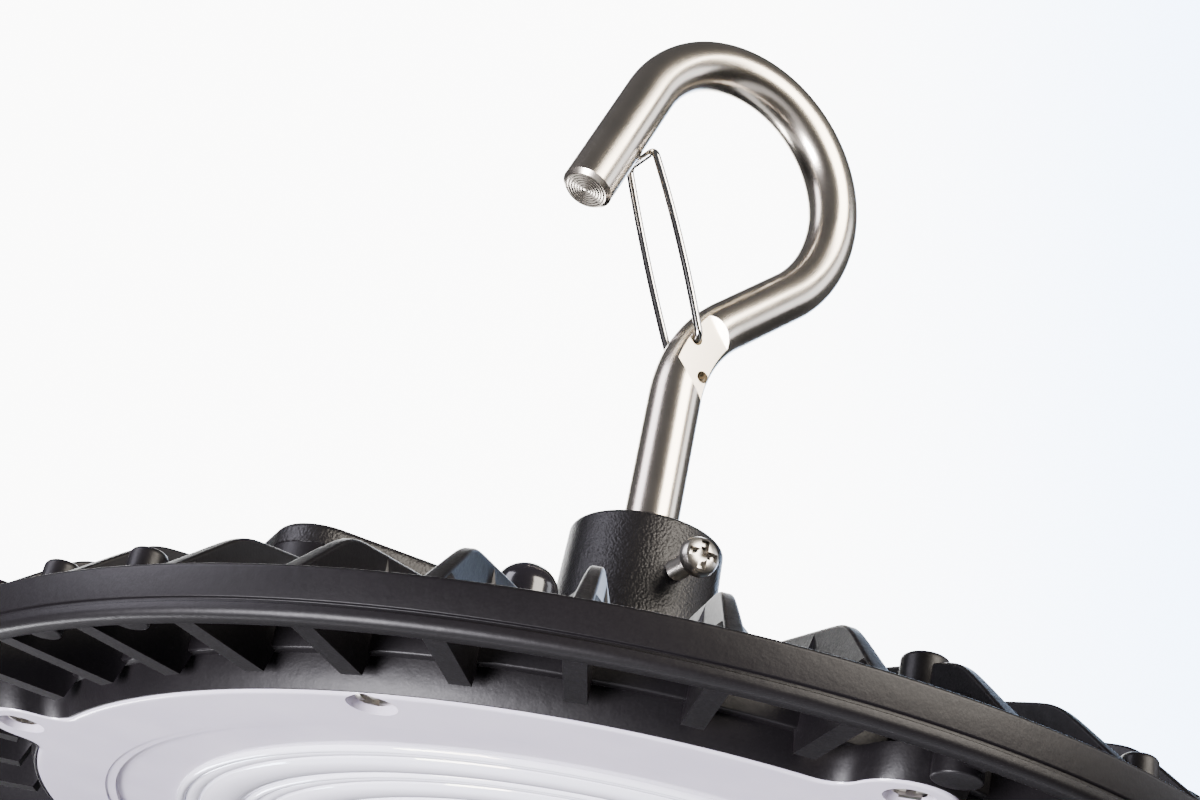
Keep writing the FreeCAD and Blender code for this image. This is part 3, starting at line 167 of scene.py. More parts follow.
fine_bump = add_node(satin_coat, "Bump", Height=grain.outputs["Fac"], Strength=0.16,
                     Distance=0.1 * MM, Normal=low_bump.outputs["Normal"])
link(satin_coat, fine_bump.outputs["Normal"], coat_shader.inputs["Normal"])
coat_shader.inputs["Specular IOR Level"].default_value = 0.24

rim_radius, rim_wall, rim_height = 115.0, 3.5, 6.9
lip_radius, groove_low, groove_high, groove_deep, groove_slope = 114.6, 1.8, 2.5, 0.35, 0.15
plate_radius, plate_under, plate_top = 93.0, 5.0, 10.2
board_recess, recess_under = 80.0, 6.2
seal_inner, seal_outer, seal_under = 81.2, 82.8, 6.8
groove_floor = lip_radius - groove_deep
rim_inner = rim_radius - rim_wall
rim = bmesh.new()
add_turned(rim, turn_corners([
    (rim_inner, 0.0, 0.6), (lip_radius, 0.0, 1.1), (lip_radius, groove_low, 0.12),
    (groove_floor, groove_low + groove_slope, 0.1),
    (groove_floor, groove_high - groove_slope, 0.1), (lip_radius, groove_high, 0.12),
    (rim_radius, rim_height, 0.6), (rim_inner, rim_height, 0.6)]), 720)
add_turned(rim, turn_corners([
    (plate_radius, plate_under, 0.3), (plate_radius, plate_top, 0.8), (0.0, plate_top, 0),
    (0.0, recess_under, 0), (board_recess, recess_under, 0.2), (board_recess, plate_under, 0.2),
    (seal_inner, plate_under, 0), (seal_inner, seal_under, 0), (seal_outer, seal_under, 0),
    (seal_outer, plate_under, 0)], 3), 360)
heatsink_rim = finish_piece("heatsink_rim", rim, satin_coat)
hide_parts("heatsink")

# ------------------------------------------------------------ heatsink: forty radial fins
# The fins are part of the same casting. Draft makes them thicker at the root, their crests
# are rounded by the die, and their outer ends slope down to the rim with a small fillet.
fin_count, fin_inner, fin_peak, fin_foot = 40, 46.0, 103.0, 114.2
peak_height, fin_rise, peak_blend, blend_reach = 16.4, 0.2, 0.7, 9.0
fin_root, root_half, thin_half, fin_draft = 1.6, 1.5, 0.95, 0.04
foot_fillet, crest = 2.4, 0.5
fillet_rises = (0.15, 0.5, 1.0, 1.7, foot_fillet)
wall_rows, crest_steps = 7, 5
plate_steps, plate_reach, slope_start = 6, 92, 100
box_half_length, box_half_width = 68, 25
gland_reach, gland_clear = 70, 12.6


def fin_top(radius):
    """Height of the fin's crest at a radius: a long slope, a rounded peak, a steep end."""
    rising = peak_height + (fin_peak - radius) * fin_rise
    falling = rim_height + (fin_foot - radius) * (peak_height - rim_height) / (
        fin_foot - fin_peak)
    if abs(rising - falling) >= blend_reach:
        return min(rising, falling)
    return -peak_blend * math.log(
        math.exp(-rising / peak_blend) + math.exp(-falling / peak_blend))


def fin_half(height):
    """Half of the fin's drafted thickness at a height."""
    return max(thin_half, root_half - fin_draft * (height - fin_root))


fins = bmesh.new()
for number in range(fin_count):
    angle = math.radians(360 / fin_count * number)
    across, up = math.cos(angle), math.sin(angle)
    # Each fin starts at the driver compartment's wall, or at the inner circle beside it.
    start = max(fin_inner, min(box_half_length / max(abs(across), 1e-6),
                               box_half_width / max(abs(up), 1e-6)))
    radii = [start, start + 0.4] + [
        start + (plate_reach - start) * step / plate_steps for step in range(1, plate_steps + 1)] \
        + [93.2, 96, 98.5] + [slope_start + step for step in range(15)] + [fin_foot]
    rings = []
    for radius in radii:
        on_plate, on_rim = radius < plate_radius, radius > rim_inner
        top = fin_top(radius)
        if number == 0 and radius > gland_reach:
            top = min(top, gland_clear)
        top = max(top, rim_height - 0.2)
        floor = plate_top if on_plate else rim_height if on_rim else None
        bottom = plate_under + 0.1 if on_plate else fin_root
        heights = [bottom, (bottom + top) / 2]
        if floor:
            heights = [bottom, floor] + [floor + rise for rise in fillet_rises
                                         if floor + rise < top - 0.8]
        shoulder = top - crest
        profile = []
        for height in heights:
            spread = 0.0
            if floor and 0 <= height - floor < foot_fillet:
                spread = foot_fillet - math.sqrt(
                    foot_fillet ** 2 - (foot_fillet - (height - floor)) ** 2)
            if height < shoulder:
                profile.append((fin_half(height) + spread, height))
        # Every ring needs equal points, so the rest are packed just under the shoulder.
        while len(profile) < wall_rows:
            profile.append((fin_half(shoulder), shoulder - 0.01 * (wall_rows - len(profile))))
        flat = fin_half(shoulder) - crest
        for step in range(crest_steps + 1):
            swing = math.pi / 2 * step / crest_steps
            profile.append((flat + crest * math.cos(swing), shoulder + crest * math.sin(swing)))
        profile.append((0.0, top))
        ring = profile + [(-wide, height) for wide, height in reversed(profile[:-1])]
        rings.append([fins.verts.new((radius * across - wide * up, radius * up + wide * across,
                                      height)) for wide, height in ring])
    for inner, outer in zip(rings, rings[1:]):
        for step in range(len(inner)):
            after = (step + 1) % len(inner)
            fins.faces.new((inner[step], outer[step], outer[after], inner[after]))
    fins.faces.new(rings[0])
    fins.faces.new(rings[-1][::-1])
finish_piece("heatsink_fins", fins, satin_coat, sharp=40)

# ------------------------------------------------------------ heatsink: bosses
# Round bosses cast between the fins take the lens screws and the reflector's screws. The
# small ones at the rim are where the die's ejector pins push the casting out.
lobe_screws, middle_screws, reflector_screws, pin_circle = 94.2, 86.0, 104.0, 109.2
pin_boss = (2.6, fin_root, 11.4)
bosses = bmesh.new()
for radius, first, (wide, bottom, top) in (
        (lobe_screws, 0, (3.4, 5.05, 19.2)), (middle_screws, 45, (5.0, 5.05, 15.0)),
        (reflector_screws, 0, (3.3, 0.6, 11.0)), (pin_circle, 13.5, pin_boss),
        (pin_circle, 22.5, pin_boss), (pin_circle, 31.5, pin_boss)):
    for number in range(4):
        angle = math.radians(first + 90 * number)
        outline = turn_corners([(0, bottom, 0), (wide, bottom, 0.3), (wide * 0.96, top, 0.9),
                                (0, top, 0)], 4)
        add_turned(bosses, outline, 40, (radius * math.cos(angle), radius * math.sin(angle)))
finish_piece("heatsink_bosses", bosses, satin_coat)

# ------------------------------------------------------------ heatsink: driver compartment
# A rounded box with drafted walls is cast on top of the base plate for the driver. Its upper
# edge is machined flat and has the groove for the lid's gasket.
box_length, box_width, box_corner, box_top = 138.0, 51.0, 8.0, 33.5
seal_deep, box_wall = 1.5, 4.5
screw_boss, board_boss, board_boss_top, tapped_hole = 4.4, 3.0, 14.0, 2.03
lid_spots = [(sx * 60.5, sy * 17.0) for sx in (1, -1) for sy in (1, -1)] \
    + [(0, 19.4), (0, -19.4)]
board_spots = [(-57.0, 8.0)] + [(sx * 46.0, sy * 14.5) for sx in (1, -1) for sy in (1, -1)]
port_radius, port_place = 9.8, Matrix.Translation((69, 0, 22.5))


def box_loop(length, width, corner, height, steps=10):
    """Points round a rounded rectangle at a height."""
    spots = []
    for index, (x, y) in enumerate(((1, 1), (-1, 1), (-1, -1), (1, -1))):
        for step in range(steps + 1):
            angle = math.radians(90 * index + 90 * step / steps)
            spots.append((x * (length / 2 - corner) + corner * math.cos(angle),
                          y * (width / 2 - corner) + corner * math.sin(angle), height))
    return spots


def join_loops(mesh, loops, close=False):
    """Skins a stack of loops that have equal counts of points."""
    rows = [[mesh.verts.new(spot) for spot in loop] for loop in loops]
    pairs = list(zip(rows, rows[1:])) + ([(rows[-1], rows[0])] if close else [])
    for low, high in pairs:
        for step in range(len(low)):
            after = (step + 1) % len(low)
            mesh.faces.new((low[step], low[after], high[after], high[step]))
    return rows


walls = bmesh.new()
draft = 2 * (box_top - plate_top) * math.tan(math.radians(1.0))
# From the fillet at the foot, up the outer wall, over the edge with its groove, down inside.
join_loops(walls, [
    box_loop(box_length + grow, box_width + grow, corner, height) for grow, corner, height in (
        (draft + 5.0, box_corner + 2.5, plate_top - 0.1),
        (draft + 2.0, box_corner + 1.0, plate_top + 0.5),
        (draft + 0.5, box_corner, plate_top + 1.7),
        (draft * 0.9, box_corner, plate_top + 2.8),
        (0.05, box_corner, box_top - 0.15),
        (-0.3, box_corner - 0.1, box_top),
        (-2.6, box_corner - 1.3, box_top),
        (-2.6, box_corner - 1.3, box_top - seal_deep),
        (-6.2, box_corner - 3.1, box_top - seal_deep),
        (-6.2, box_corner - 3.1, box_top),
        (-2 * box_wall, box_corner - box_wall, box_top),
        (-2 * box_wall, box_corner - box_wall, plate_top))])
for spots, wide, top in ((lid_spots, screw_boss, box_top),
                         (board_spots, board_boss, board_boss_top)):
    for spot in spots:
        add_turned(walls, [(tapped_hole, top - 2), (tapped_hole, top), (wide, top),
                           (wide, plate_top)], 32, spot, closed=False)
add_turned(walls, turn_corners([(0, -3, 0), (port_radius, -3, 0), (port_radius, 1.2, 0.5),
                                (0, 1.2, 0)], 4), 48,
           turn=port_place @ Matrix.Rotation(math.pi / 2, 4, "Y"))
finish_piece("heatsink_box", walls, satin_coat)

# ------------------------------------------------------------ lid with the hook boss
# The lid is cast too, and six screws hold it down on its seal. A tall boss in its middle
# carries the hook, so it has a wide foot and a slight draft.
#
# Coarse black powder coat, baked from a gritty powder that hides cast skin: pebbles 0.45 mm
# across catch the light as bright specks. Both grains are drawn coarser than real ones to show.
coarse_coat, coarse_shader, place = new_material("coarse_black_powder_coat", "#0e0d0e", 0.38)
pebbles = add_node(coarse_coat, "TexVoronoi", {"feature": "SMOOTH_F1"}, Vector=place,
                   Scale=1 / (0.45 * MM), Smoothness=0.5)
grit = add_node(coarse_coat, "TexNoise", Vector=place, Scale=1 / (0.35 * MM), Detail=4.0)
height = add_node(coarse_coat, "Math", {"operation": "SUBTRACT"}, i0=grit.outputs["Fac"],
                  i1=pebbles.outputs["Distance"])
shade = add_node(coarse_coat, "ValToRGB", Fac=grit.outputs["Fac"])
shade.color_ramp.elements[0].color = linear("#0a090a")
shade.color_ramp.elements[1].color = linear("#171516")
link(coarse_coat, shade.outputs["Color"], coarse_shader.inputs["Base Color"])
rough = add_node(coarse_coat, "Bump", Height=height.outputs["Value"], Strength=0.45,
                 Distance=0.2 * MM)
link(coarse_coat, rough.outputs["Normal"], coarse_shader.inputs["Normal"])
coarse_shader.inputs["Specular IOR Level"].default_value = 0.35

lid_top, lid_edge, boss_top = 37.0, 1.3, 65.2
boss_foot, foot_bend, boss_low, boss_high, bore = 14.7, 4.0, 14.55, 13.9, 5.05
lid = bmesh.new()
rows = join_loops(lid, [
    box_loop(box_length - 2 * inset, box_width - 2 * inset, box_corner - inset, height)
    for inset, height in [(1.0, box_top), (0.15, box_top), (0.0, box_top + 0.15)] + [
        (lid_edge - lid_edge * math.cos(math.radians(15 * step)),
         lid_top - lid_edge + lid_edge * math.sin(math.radians(15 * step)))
        for step in range(7)]])
lid.faces.new(rows[0][::-1])
lid.faces.new(rows[-1])
driver_lid = finish_piece("driver_lid_plate", lid, coarse_coat)
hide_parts("driver_lid")
boss = bmesh.new()
foot = [Vector((boss_foot + foot_bend - foot_bend * math.sin(math.radians(9 * step)),
                lid_top - 0.05 + foot_bend - foot_bend * math.cos(math.radians(9 * step))))
        for step in range(11)]
add_turned(boss, foot + turn_corners(
    [(boss_low, lid_top + 5, 0), (boss_high, boss_top, 1.0), (bore, boss_top, 0.5),
     (bore, lid_top - 3, 0)]), 160)
finish_piece("hook_boss", boss, coarse_coat, sharp=45)

# ------------------------------------------------------------ hook
# The hook is a 10 mm round bar of stainless steel, bent cold in three bends, with a satin
# ground skin. Two flats are milled at the neck, and the tip is faced off on a lathe.
hook_turn = Matrix.Rotation(math.radians(6.5), 4, "Z")
bar, loop_bend, back_bend, neck_bend = 4.99, 24.3, 28.5, 28.0
lean, tip_lean = math.radians(45.4), math.radians(71.8)
bar_low, tip_length, tip_chamfer = 24.5, 29.0, 0.8
loop_middle = Vector((4.6, boss_top + 82.0))
back_middle = Vector((loop_middle.x + loop_bend - back_bend, loop_middle.y))
slope_top = back_middle + back_bend * Vector((math.sin(lean), -math.cos(lean)))
run = (slope_top.x - neck_bend * (1 - math.sin(lean))) / math.cos(lean)
slope_end = slope_top - run * Vector((math.cos(lean), math.sin(lean)))
neck_middle = slope_end + neck_bend * Vector((math.sin(lean), -math.cos(lean)))
tip_top = loop_middle + loop_bend * Vector((-math.sin(tip_lean), math.cos(tip_lean)))
tip_end = tip_top - tip_length * Vector((math.cos(tip_lean), math.sin(tip_lean)))


def arc_points(middle, bend, first, last, count):
    """Points on a bend, in the hook's plane."""
    return [middle + bend * Vector((math.cos(first + (last - first) * step / count),
                                    math.sin(first + (last - first) * step / count)))
            for step in range(count + 1)]


stem_low = bar_low + tip_chamfer
bar_line = [Vector((0, bar_low)), Vector((0, stem_low))]
bar_line += [Vector((0, stem_low + (neck_middle.y - stem_low) * step / 12))
             for step in range(1, 12)]
bar_line += arc_points(neck_middle, neck_bend, math.pi, math.pi / 2 + lean, 24)
bar_line += [slope_end + (slope_top - slope_end) * step / 8 for step in range(1, 8)]
bar_line += arc_points(back_middle, back_bend, lean - math.pi / 2, 0, 24)
bar_line += arc_points(loop_middle, loop_bend, 0, math.pi / 2 + tip_lean, 72)[1:]
tip_along = (tip_end - tip_top).normalized() * (tip_length - tip_chamfer)
bar_line += [tip_top + tip_along * (step / 10) for step in range(1, 11)] + [tip_end]


def add_rod(mesh, line, radii, sides):
    """A rod along points in space, with a radius at each of them. Returns its rings."""
    rings = []
    direction = (line[1] - line[0]).normalized()
    sideways = direction.orthogonal().normalized()
    for index, spot in enumerate(line):
        ahead = line[min(index + 1, len(line) - 1)] - line[max(index - 1, 0)]
        ahead.normalize()
        sideways = (sideways - ahead * sideways.dot(ahead)).normalized()
        other = ahead.cross(sideways)
        rings.append([mesh.verts.new(spot + radii[index] * (
            sideways * math.cos(math.tau * step / sides)
            + other * math.sin(math.tau * step / sides))) for step in range(sides)])
    for low, high in zip(rings, rings[1:]):
        for step in range(sides):
            after = (step + 1) % sides
            mesh.faces.new((low[step], low[after], high[after], high[step]))
    mesh.faces.new(rings[0][::-1])
    mesh.faces.new(rings[-1])
    return rings


def in_hook_plane(across, height, near=0.0):
    """A point of the hook's own plane in space. Near counts towards the lock screw's side."""
    return hook_turn @ Vector((across, -near, height))


# Satin stainless steel, drawn, bent and brushed: soft duller patches 9 mm across, and fine
# scratches that spread the highlights. Real scratches are hair thin, so they are drawn 0.5 mm.
hook_steel, steel_shader, place = new_material("satin_stainless_bar", "#d6cdbf", 0.22, 1.0)
brushed = add_node(hook_steel, "TexNoise", Vector=place, Scale=1 / (0.5 * MM), Detail=4.0)
patches = add_node(hook_steel, "TexNoise", Vector=place, Scale=1 / (9 * MM), Detail=3.0)
sheen = add_node(hook_steel, "MapRange", Value=patches.outputs["Fac"])
sheen.inputs["To Min"].default_value, sheen.inputs["To Max"].default_value = 0.17, 0.28
link(hook_steel, sheen.outputs["Result"], steel_shader.inputs["Roughness"])
scratch = add_node(hook_steel, "Bump", Height=brushed.outputs["Fac"], Strength=0.08,
                   Distance=0.05 * MM)
link(hook_steel, scratch.outputs["Normal"], steel_shader.inputs["Normal"])


def cut_out(piece, tools, sharp):
    """Cuts the tools out of a piece, removes them, and marks the edges over an angle sharp."""
    for tool in tools:
        cut = piece.modifiers.new("cut", "BOOLEAN")
        cut.operation, cut.solver, cut.object = "DIFFERENCE", "EXACT", tool
    bpy.context.view_layer.update()
    graph = bpy.context.evaluated_depsgraph_get()
    data = bpy.data.meshes.new_from_object(piece.evaluated_get(graph))
    piece.modifiers.clear()
    piece.data = data
    for tool in tools:
        bpy.data.objects.remove(tool)
    data.polygons.foreach_set("use_smooth", [True] * len(data.polygons))
    data.set_sharp_from_angle(angle=math.radians(sharp))


def loose_tool(mesh):
    """A cutting tool as an object of its own, scaled from millimetres."""
    bmesh.ops.scale(mesh, vec=(MM, MM, MM), verts=mesh.verts)
    data = bpy.data.meshes.new("tool")
    mesh.to_mesh(data)
    mesh.free()
    tool = bpy.data.objects.new("tool", data)
    bpy.context.scene.collection.objects.link(tool)
    return tool


def tool_wedge(matrix, corners):
    """A wedge for cutting, from its corners in millimetres."""
    mesh = bmesh.new()
    for corner in corners:
        mesh.verts.new(corner)
    bmesh.ops.convex_hull(mesh, input=mesh.verts)
    bmesh.ops.transform(mesh, matrix=matrix, verts=mesh.verts)
    return loose_tool(mesh)


def tool_rod(matrix, radius, length, sides=48):
    """A round bar for cutting, along its matrix's own Z."""
    mesh = bmesh.new()
    bmesh.ops.create_cone(mesh, cap_ends=True, segments=sides, radius1=radius, radius2=radius,
                          depth=length, matrix=matrix)
    return loose_tool(mesh)


bar_sides, face_rings, ring_deep = 96, 15, 0.07
rod = bmesh.new()
bar_radii = [bar - tip_chamfer] + [bar] * (len(bar_line) - 2) + [bar - tip_chamfer]
bar_rings = add_rod(rod, [in_hook_plane(*spot) for spot in bar_line], bar_radii, bar_sides)
rod.faces.remove(next(face for face in rod.faces if len(face.verts) == bar_sides
                      and bar_rings[-1][0] in face.verts))
# The tip's end face keeps the rings that facing it on the lathe leaves, drawn coarser to show.
end_middle = in_hook_plane(*tip_end)
inward = (in_hook_plane(*tip_top) - end_middle).normalized()
outer_ring = bar_rings[-1]
for number in range(1, face_rings):
    share = 1 - number / face_rings
    dip = ring_deep if number % 2 else 0.0
    ring = [rod.verts.new(end_middle + (vert.co - end_middle) * share + inward * dip)
            for vert in bar_rings[-1]]
    for step in range(bar_sides):
        after = (step + 1) % bar_sides
        rod.faces.new((outer_ring[step], outer_ring[after], ring[after], ring[step]))
    outer_ring = ring
rod.faces.new(outer_ring)
hook = finish_piece("hook_bar", rod, hook_steel)
# The cutter's ends slant, so each flat runs out onto the bar in a slope. It leaves 7 mm of steel.
flat_middle = Vector((2.0, boss_top + 39.4))
flat_length, flat_flare, flat_half, cutter_deep, cutter_place = 11.6, 7.0, 9.0, 5.0, 6.0
flat_tools = [
    tool_wedge(hook_turn @ Matrix.Translation((flat_middle.x, near * cutter_place, flat_middle.y))
               @ Matrix.Rotation(-lean, 4, "Y"),
               [((flat_length + flat_flare * outer) * along / 2,
                 near * cutter_deep * (outer - 0.5), flat_half * up)
                for along in (-1, 1) for outer in (0, 1) for up in (-1, 1)])
    for near in (-1, 1)]
near_pivot, far_pivot = (0.3, boss_top + 41.4), (3.0, boss_top + 34.4)
pivot_hole, hole_length = 1.2, 12
pivot_tools = [tool_rod(hook_turn @ Matrix.Translation((across, 0, height))
                        @ Matrix.Rotation(math.pi / 2, 4, "X"), pivot_hole, hole_length)
               for across, height in (near_pivot, far_pivot)]
cut_out(hook, flat_tools + pivot_tools, sharp=28)
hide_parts("hook")

# ------------------------------------------------------------ latch
# A gate bent from 1.5 mm spring wire. Its two ends are snapped into the neck's cross holes at
# different heights, so that the wire springs back and rests its bow inside the tip.
wire, wire_bend, wire_gap = 0.75, 1.5, 0.03
leg_out, end_in, leg_bow, bow_steps = 4.5, 2.4, 0.8, 24
bow_above_tip = 15.4
bow = tip_end + bow_above_tip * Vector((math.cos(tip_lean), math.sin(tip_lean))) \
    + (bar + wire + wire_gap) * Vector((math.sin(tip_lean), -math.cos(tip_lean)))


def bend_line(corners, bend, steps=8):
    """Points along a wire whose corners are bent to one radius."""
    line = [corners[0]]
    for before, here, after in zip(corners, corners[1:], corners[2:]):
        back, ahead = (before - here).normalized(), (after - here).normalized()
        half = back.angle(ahead) / 2
        middle = here + (back + ahead).normalized() * (bend / math.sin(half))
        first = here + back * (bend / math.tan(half)) - middle
        last = here + ahead * (bend / math.tan(half)) - middle
        turn = first.rotation_difference(last)
        for step in range(steps + 1):
            swung = first.copy()
            swung.rotate(Quaternion().slerp(turn, step / steps))
            line.append(middle + swung)
    return line + [corners[-1]]


# Bright spring steel, drawn through a die: nearly a mirror, with a faint ripple along it. Die
# lines are too fine to show, so the ripple is drawn 0.4 mm across.
wire_steel, wire_shader, place = new_material("bright_spring_wire", "#d4d2cf", 0.14, 1.0)
drawn = add_node(wire_steel, "TexNoise", Vector=place, Scale=1 / (0.4 * MM), Detail=2.0)
lines = add_node(wire_steel, "Bump", Height=drawn.outputs["Fac"], Strength=0.05,
                 Distance=0.03 * MM)
link(wire_steel, lines.outputs["Normal"], wire_shader.inputs["Normal"])
gate = bmesh.new()
straight_line = bend_line([in_hook_plane(*spot) for spot in (
    (*near_pivot, end_in), (*near_pivot, leg_out), (*bow, leg_out), (*bow, -leg_out),
    (*far_pivot, -leg_out), (*far_pivot, -end_in))], wire_bend)
# The two long legs spring outward a little between their ends.
gate_line = []
for before, after in zip(straight_line, straight_line[1:]):
    gate_line.append(before)
    if (after - before).length > 2 * leg_out + wire:
        outward = hook_turn @ Vector((0, math.copysign(1, (hook_turn.inverted() @ before).y), 0))
        for step in range(1, bow_steps):
            share = step / bow_steps
            gate_line.append(before.lerp(after, share)
                             + outward * leg_bow * 4 * share * (1 - share))
gate_line.append(straight_line[-1])
add_rod(gate, gate_line, [wire] * len(gate_line), 20)
latch = finish_piece("latch_wire", gate, wire_steel, body="latch")
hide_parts("hook_latch")

# ------------------------------------------------------------ screws
# Pan head machine screws with a cross recess and a rolled thread. The lock screw stands out of
# the hook boss with its thread showing, the lens and lid screws sit in their pockets.
#
# Plated steel, cold headed: soft highlights, broken by shallow marks 0.5 mm across.
plated_steel, plated_shader, place = new_material("plated_screw_steel", "#b9b5ae", 0.3, 1.0)
pits = add_node(plated_steel, "TexNoise", Vector=place, Scale=1 / (0.5 * MM), Detail=3.0)
dents = add_node(plated_steel, "Bump", Height=pits.outputs["Fac"], Strength=0.1,
                 Distance=0.05 * MM)
link(plated_steel, dents.outputs["Normal"], plated_shader.inputs["Normal"])


def tool_block(matrix, size):
    """A block for cutting, in millimetres before its matrix."""
    mesh = bmesh.new()
    bmesh.ops.create_cube(mesh, size=1.0, matrix=matrix @ Matrix.Diagonal((*size, 1.0)))
    return loose_tool(mesh)


def make_screw(name, node, matrix, shank, length, head, tall, pitch):
    """One screw with a rolled thread and a cross recess. Its head stands on its own zero."""
    mesh = bmesh.new()
    dome = [(0, tall), (head * 0.45, tall - 0.02), (head * 0.7, tall - 0.18),
            (head * 0.87, tall * 0.78), (head * 0.97, tall * 0.52), (head, tall * 0.25),
            (head * 0.985, 0.06), (head * 0.95, 0.0), (shank, 0.0), (shank, -0.2), (0, -0.2)]
    add_turned(mesh, [Vector(spot) for spot in dome], 48)
    bmesh.ops.transform(mesh, matrix=matrix, verts=mesh.verts)
    piece = finish_piece(name, mesh, plated_steel)
    # The recess narrows downwards in one step. Its tools stand 0.4 mm clear of the head.
    arms = []
    for turn in (0, math.pi / 2):
        for reach, wide, deep in ((0.74, 0.42, 0.45), (0.5, 0.36, 0.7)):
            arms.append(tool_block(
                matrix @ Matrix.Translation((0, 0, tall - tall * deep / 2 + 0.2))
                @ Matrix.Rotation(turn, 4, "Z"),
                (2 * head * reach, head * wide, tall * deep + 0.4)))
    cut_out(piece, arms, sharp=30)
    thread = bmesh.new()
    thread_deep, per_turn, sides = 0.6 * pitch, 8, 28
    rows = int(length / pitch * per_turn)
    rings = []
    for row in range(rows + 1):
        ring = []
        for step in range(sides):
            share = (row / per_turn + step / sides) % 1.0
            run_out = min(1, (rows - row) / per_turn + 0.3)
            radius = shank - thread_deep * (1 - abs(2 * share - 1)) * run_out
            ring.append(thread.verts.new((radius * math.cos(math.tau * step / sides),
                                          radius * math.sin(math.tau * step / sides),
                                          -length * row / rows)))
        rings.append(ring)
    for low, high in zip(rings, rings[1:]):
        for step in range(sides):
            after = (step + 1) % sides
            thread.faces.new((low[step], low[after], high[after], high[step]))
    thread.faces.new(rings[0])
    thread.faces.new(rings[-1][::-1])
    bmesh.ops.transform(thread, matrix=matrix, verts=thread.verts)
    finish_piece(name + "_thread", thread, plated_steel, sharp=25)
    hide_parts(node)


lock_place = Matrix.Translation((0, -21.6, boss_top - 9.6))
make_screw("lock_screw", "hook_lock_screw", lock_place @ Matrix.Rotation(math.pi / 2, 4, "X"),
           shank=2.0, length=16.5, head=3.5, tall=2.4, pitch=0.7)
# No two recesses stop at the same angle, so each screw is turned on from the one before.
lens_head_seat, lid_head_seat = 3.0, 36.2
upside_down = Matrix.Rotation(math.pi, 4, "X")
lens_spots = [(radius * math.cos(math.radians(first + 90 * step)),
               radius * math.sin(math.radians(first + 90 * step)))
              for radius, first in ((lobe_screws, 0), (middle_screws, 45)) for step in range(4)]
for index, spot in enumerate(lens_spots):
    make_screw(f"lens_screw_{index}", "lens_screws",
               Matrix.Translation((*spot, lens_head_seat)) @ upside_down
               @ Matrix.Rotation(0.7 * index, 4, "Z"),
               shank=1.75, length=10.0, head=2.9, tall=2.2, pitch=0.6)
for index, spot in enumerate(lid_spots):
    make_screw(f"lid_screw_{index}", "lid_screws",
               Matrix.Translation((*spot, lid_head_seat)) @ Matrix.Rotation(0.5 * index, 4, "Z"),
               shank=2.0, length=12.0, head=3.5, tall=2.4, pitch=0.7)

# ------------------------------------------------------------ lens
# The lens is injection moulded in one piece: a milky plate with a seat round its edge, four
# screw lobes and screw pockets, and six ring optics that spread the light of the chips.
lens_radius, lens_face, lens_seat, plate_inside = 89.7, 0.3, 5.0, 2.5
lobe_circle, lobe_radius = 92.7, 7.2
blend_radius, blend_circle, blend_swing = 5.0, math.hypot(93.92, 12.1), math.atan2(12.1, 93.92)
lobe_end, blend_start, blend_end = 7.14, 4.36, 7.4


def lens_edge(angle):
    """Radius of the lens's outline at an angle, with the four lobes and their blends."""
    off = abs((math.degrees(angle) + 45) % 90 - 45)
    swing = math.radians(off)
    aside = lobe_circle * math.sin(swing)
    lobe = blend = 0.0
    if aside < lobe_end:
        lobe = lobe_circle * math.cos(swing) + math.sqrt(max(0.0, lobe_radius ** 2 - aside ** 2))
    gap = abs(swing - blend_swing)
    reach = blend_circle * math.sin(gap)
    if reach < blend_radius and blend_start < off < blend_end:
        blend = blend_circle * math.cos(gap) - math.sqrt(max(0.0, blend_radius ** 2 - reach ** 2))
    return max(lens_radius, lobe, blend)


# Milky polycarbonate, injection moulded in a polished die: light sinks in a little below a
# glossy skin, and the flow of the plastic leaves faint clouds about 14 mm across.
milky_lens, milky_shader, place = new_material("milky_polycarbonate", "#cbc6d4", 0.18)
milky_shader.inputs["Subsurface Weight"].default_value = 0.35
milky_shader.inputs["Subsurface Radius"].default_value = (0.004, 0.004, 0.005)
milky_shader.inputs["Coat Weight"].default_value = 0.4
milky_shader.inputs["Coat Roughness"].default_value = 0.08
flow = add_node(milky_lens, "TexNoise", Vector=place, Scale=1 / (14 * MM), Detail=2.0)
cloud = add_node(milky_lens, "ValToRGB", Fac=flow.outputs["Fac"])
cloud.color_ramp.elements[0].color = linear("#c2bccb")
cloud.color_ramp.elements[1].color = linear("#d6d1de")
link(milky_lens, cloud.outputs["Color"], milky_shader.inputs["Base Color"])

sides = 1440
spokes = [math.tau * step / sides for step in range(sides)]
edge = [lens_edge(spoke) for spoke in spokes]


def ring_loop(radii, height):
    """Points round the lens at a height, from one radius for each spoke."""
    return [(radius * math.cos(spoke), radius * math.sin(spoke), height)
            for radius, spoke in zip(radii, spokes)]


# From the recessed middle out over a step, round the edge, and back in along the seal's groove.
optic_face, step_face, optic_recess = 1.4, 0.6, 77.0
plate = bmesh.new()
loops = [ring_loop([radius] * sides, height) for radius, height in (
    (optic_recess, optic_face), (optic_recess, step_face), (78.4, step_face), (78.6, lens_face))]
loops += [ring_loop([radius - inset for radius in edge], lens_face + rise) for inset, rise in (
    (1.2, 0.0), (0.7, 0.0), (0.35, 0.09), (0.1, 0.35), (0.0, 0.7), (0.0, 4.7))]
loops += [ring_loop([radius] * sides, height) for radius, height in (
    (87.4, lens_seat), (87.4, plate_inside), (seal_outer, plate_inside), (seal_outer, lens_seat),
    (seal_inner, lens_seat), (seal_inner, plate_inside))]
rows = join_loops(plate, loops)
for row, height in ((rows[0], optic_face), (rows[-1], plate_inside)):
    middle = plate.verts.new((0, 0, height))
    for step in range(sides):
        plate.faces.new((row[step], row[(step + 1) % sides], middle))
lens_plate = finish_piece("lens_plate", plate, milky_lens)
pocket_radius, shank_hole, tool_length = 3.5, 2.2, 4.0
pocket_tools = []
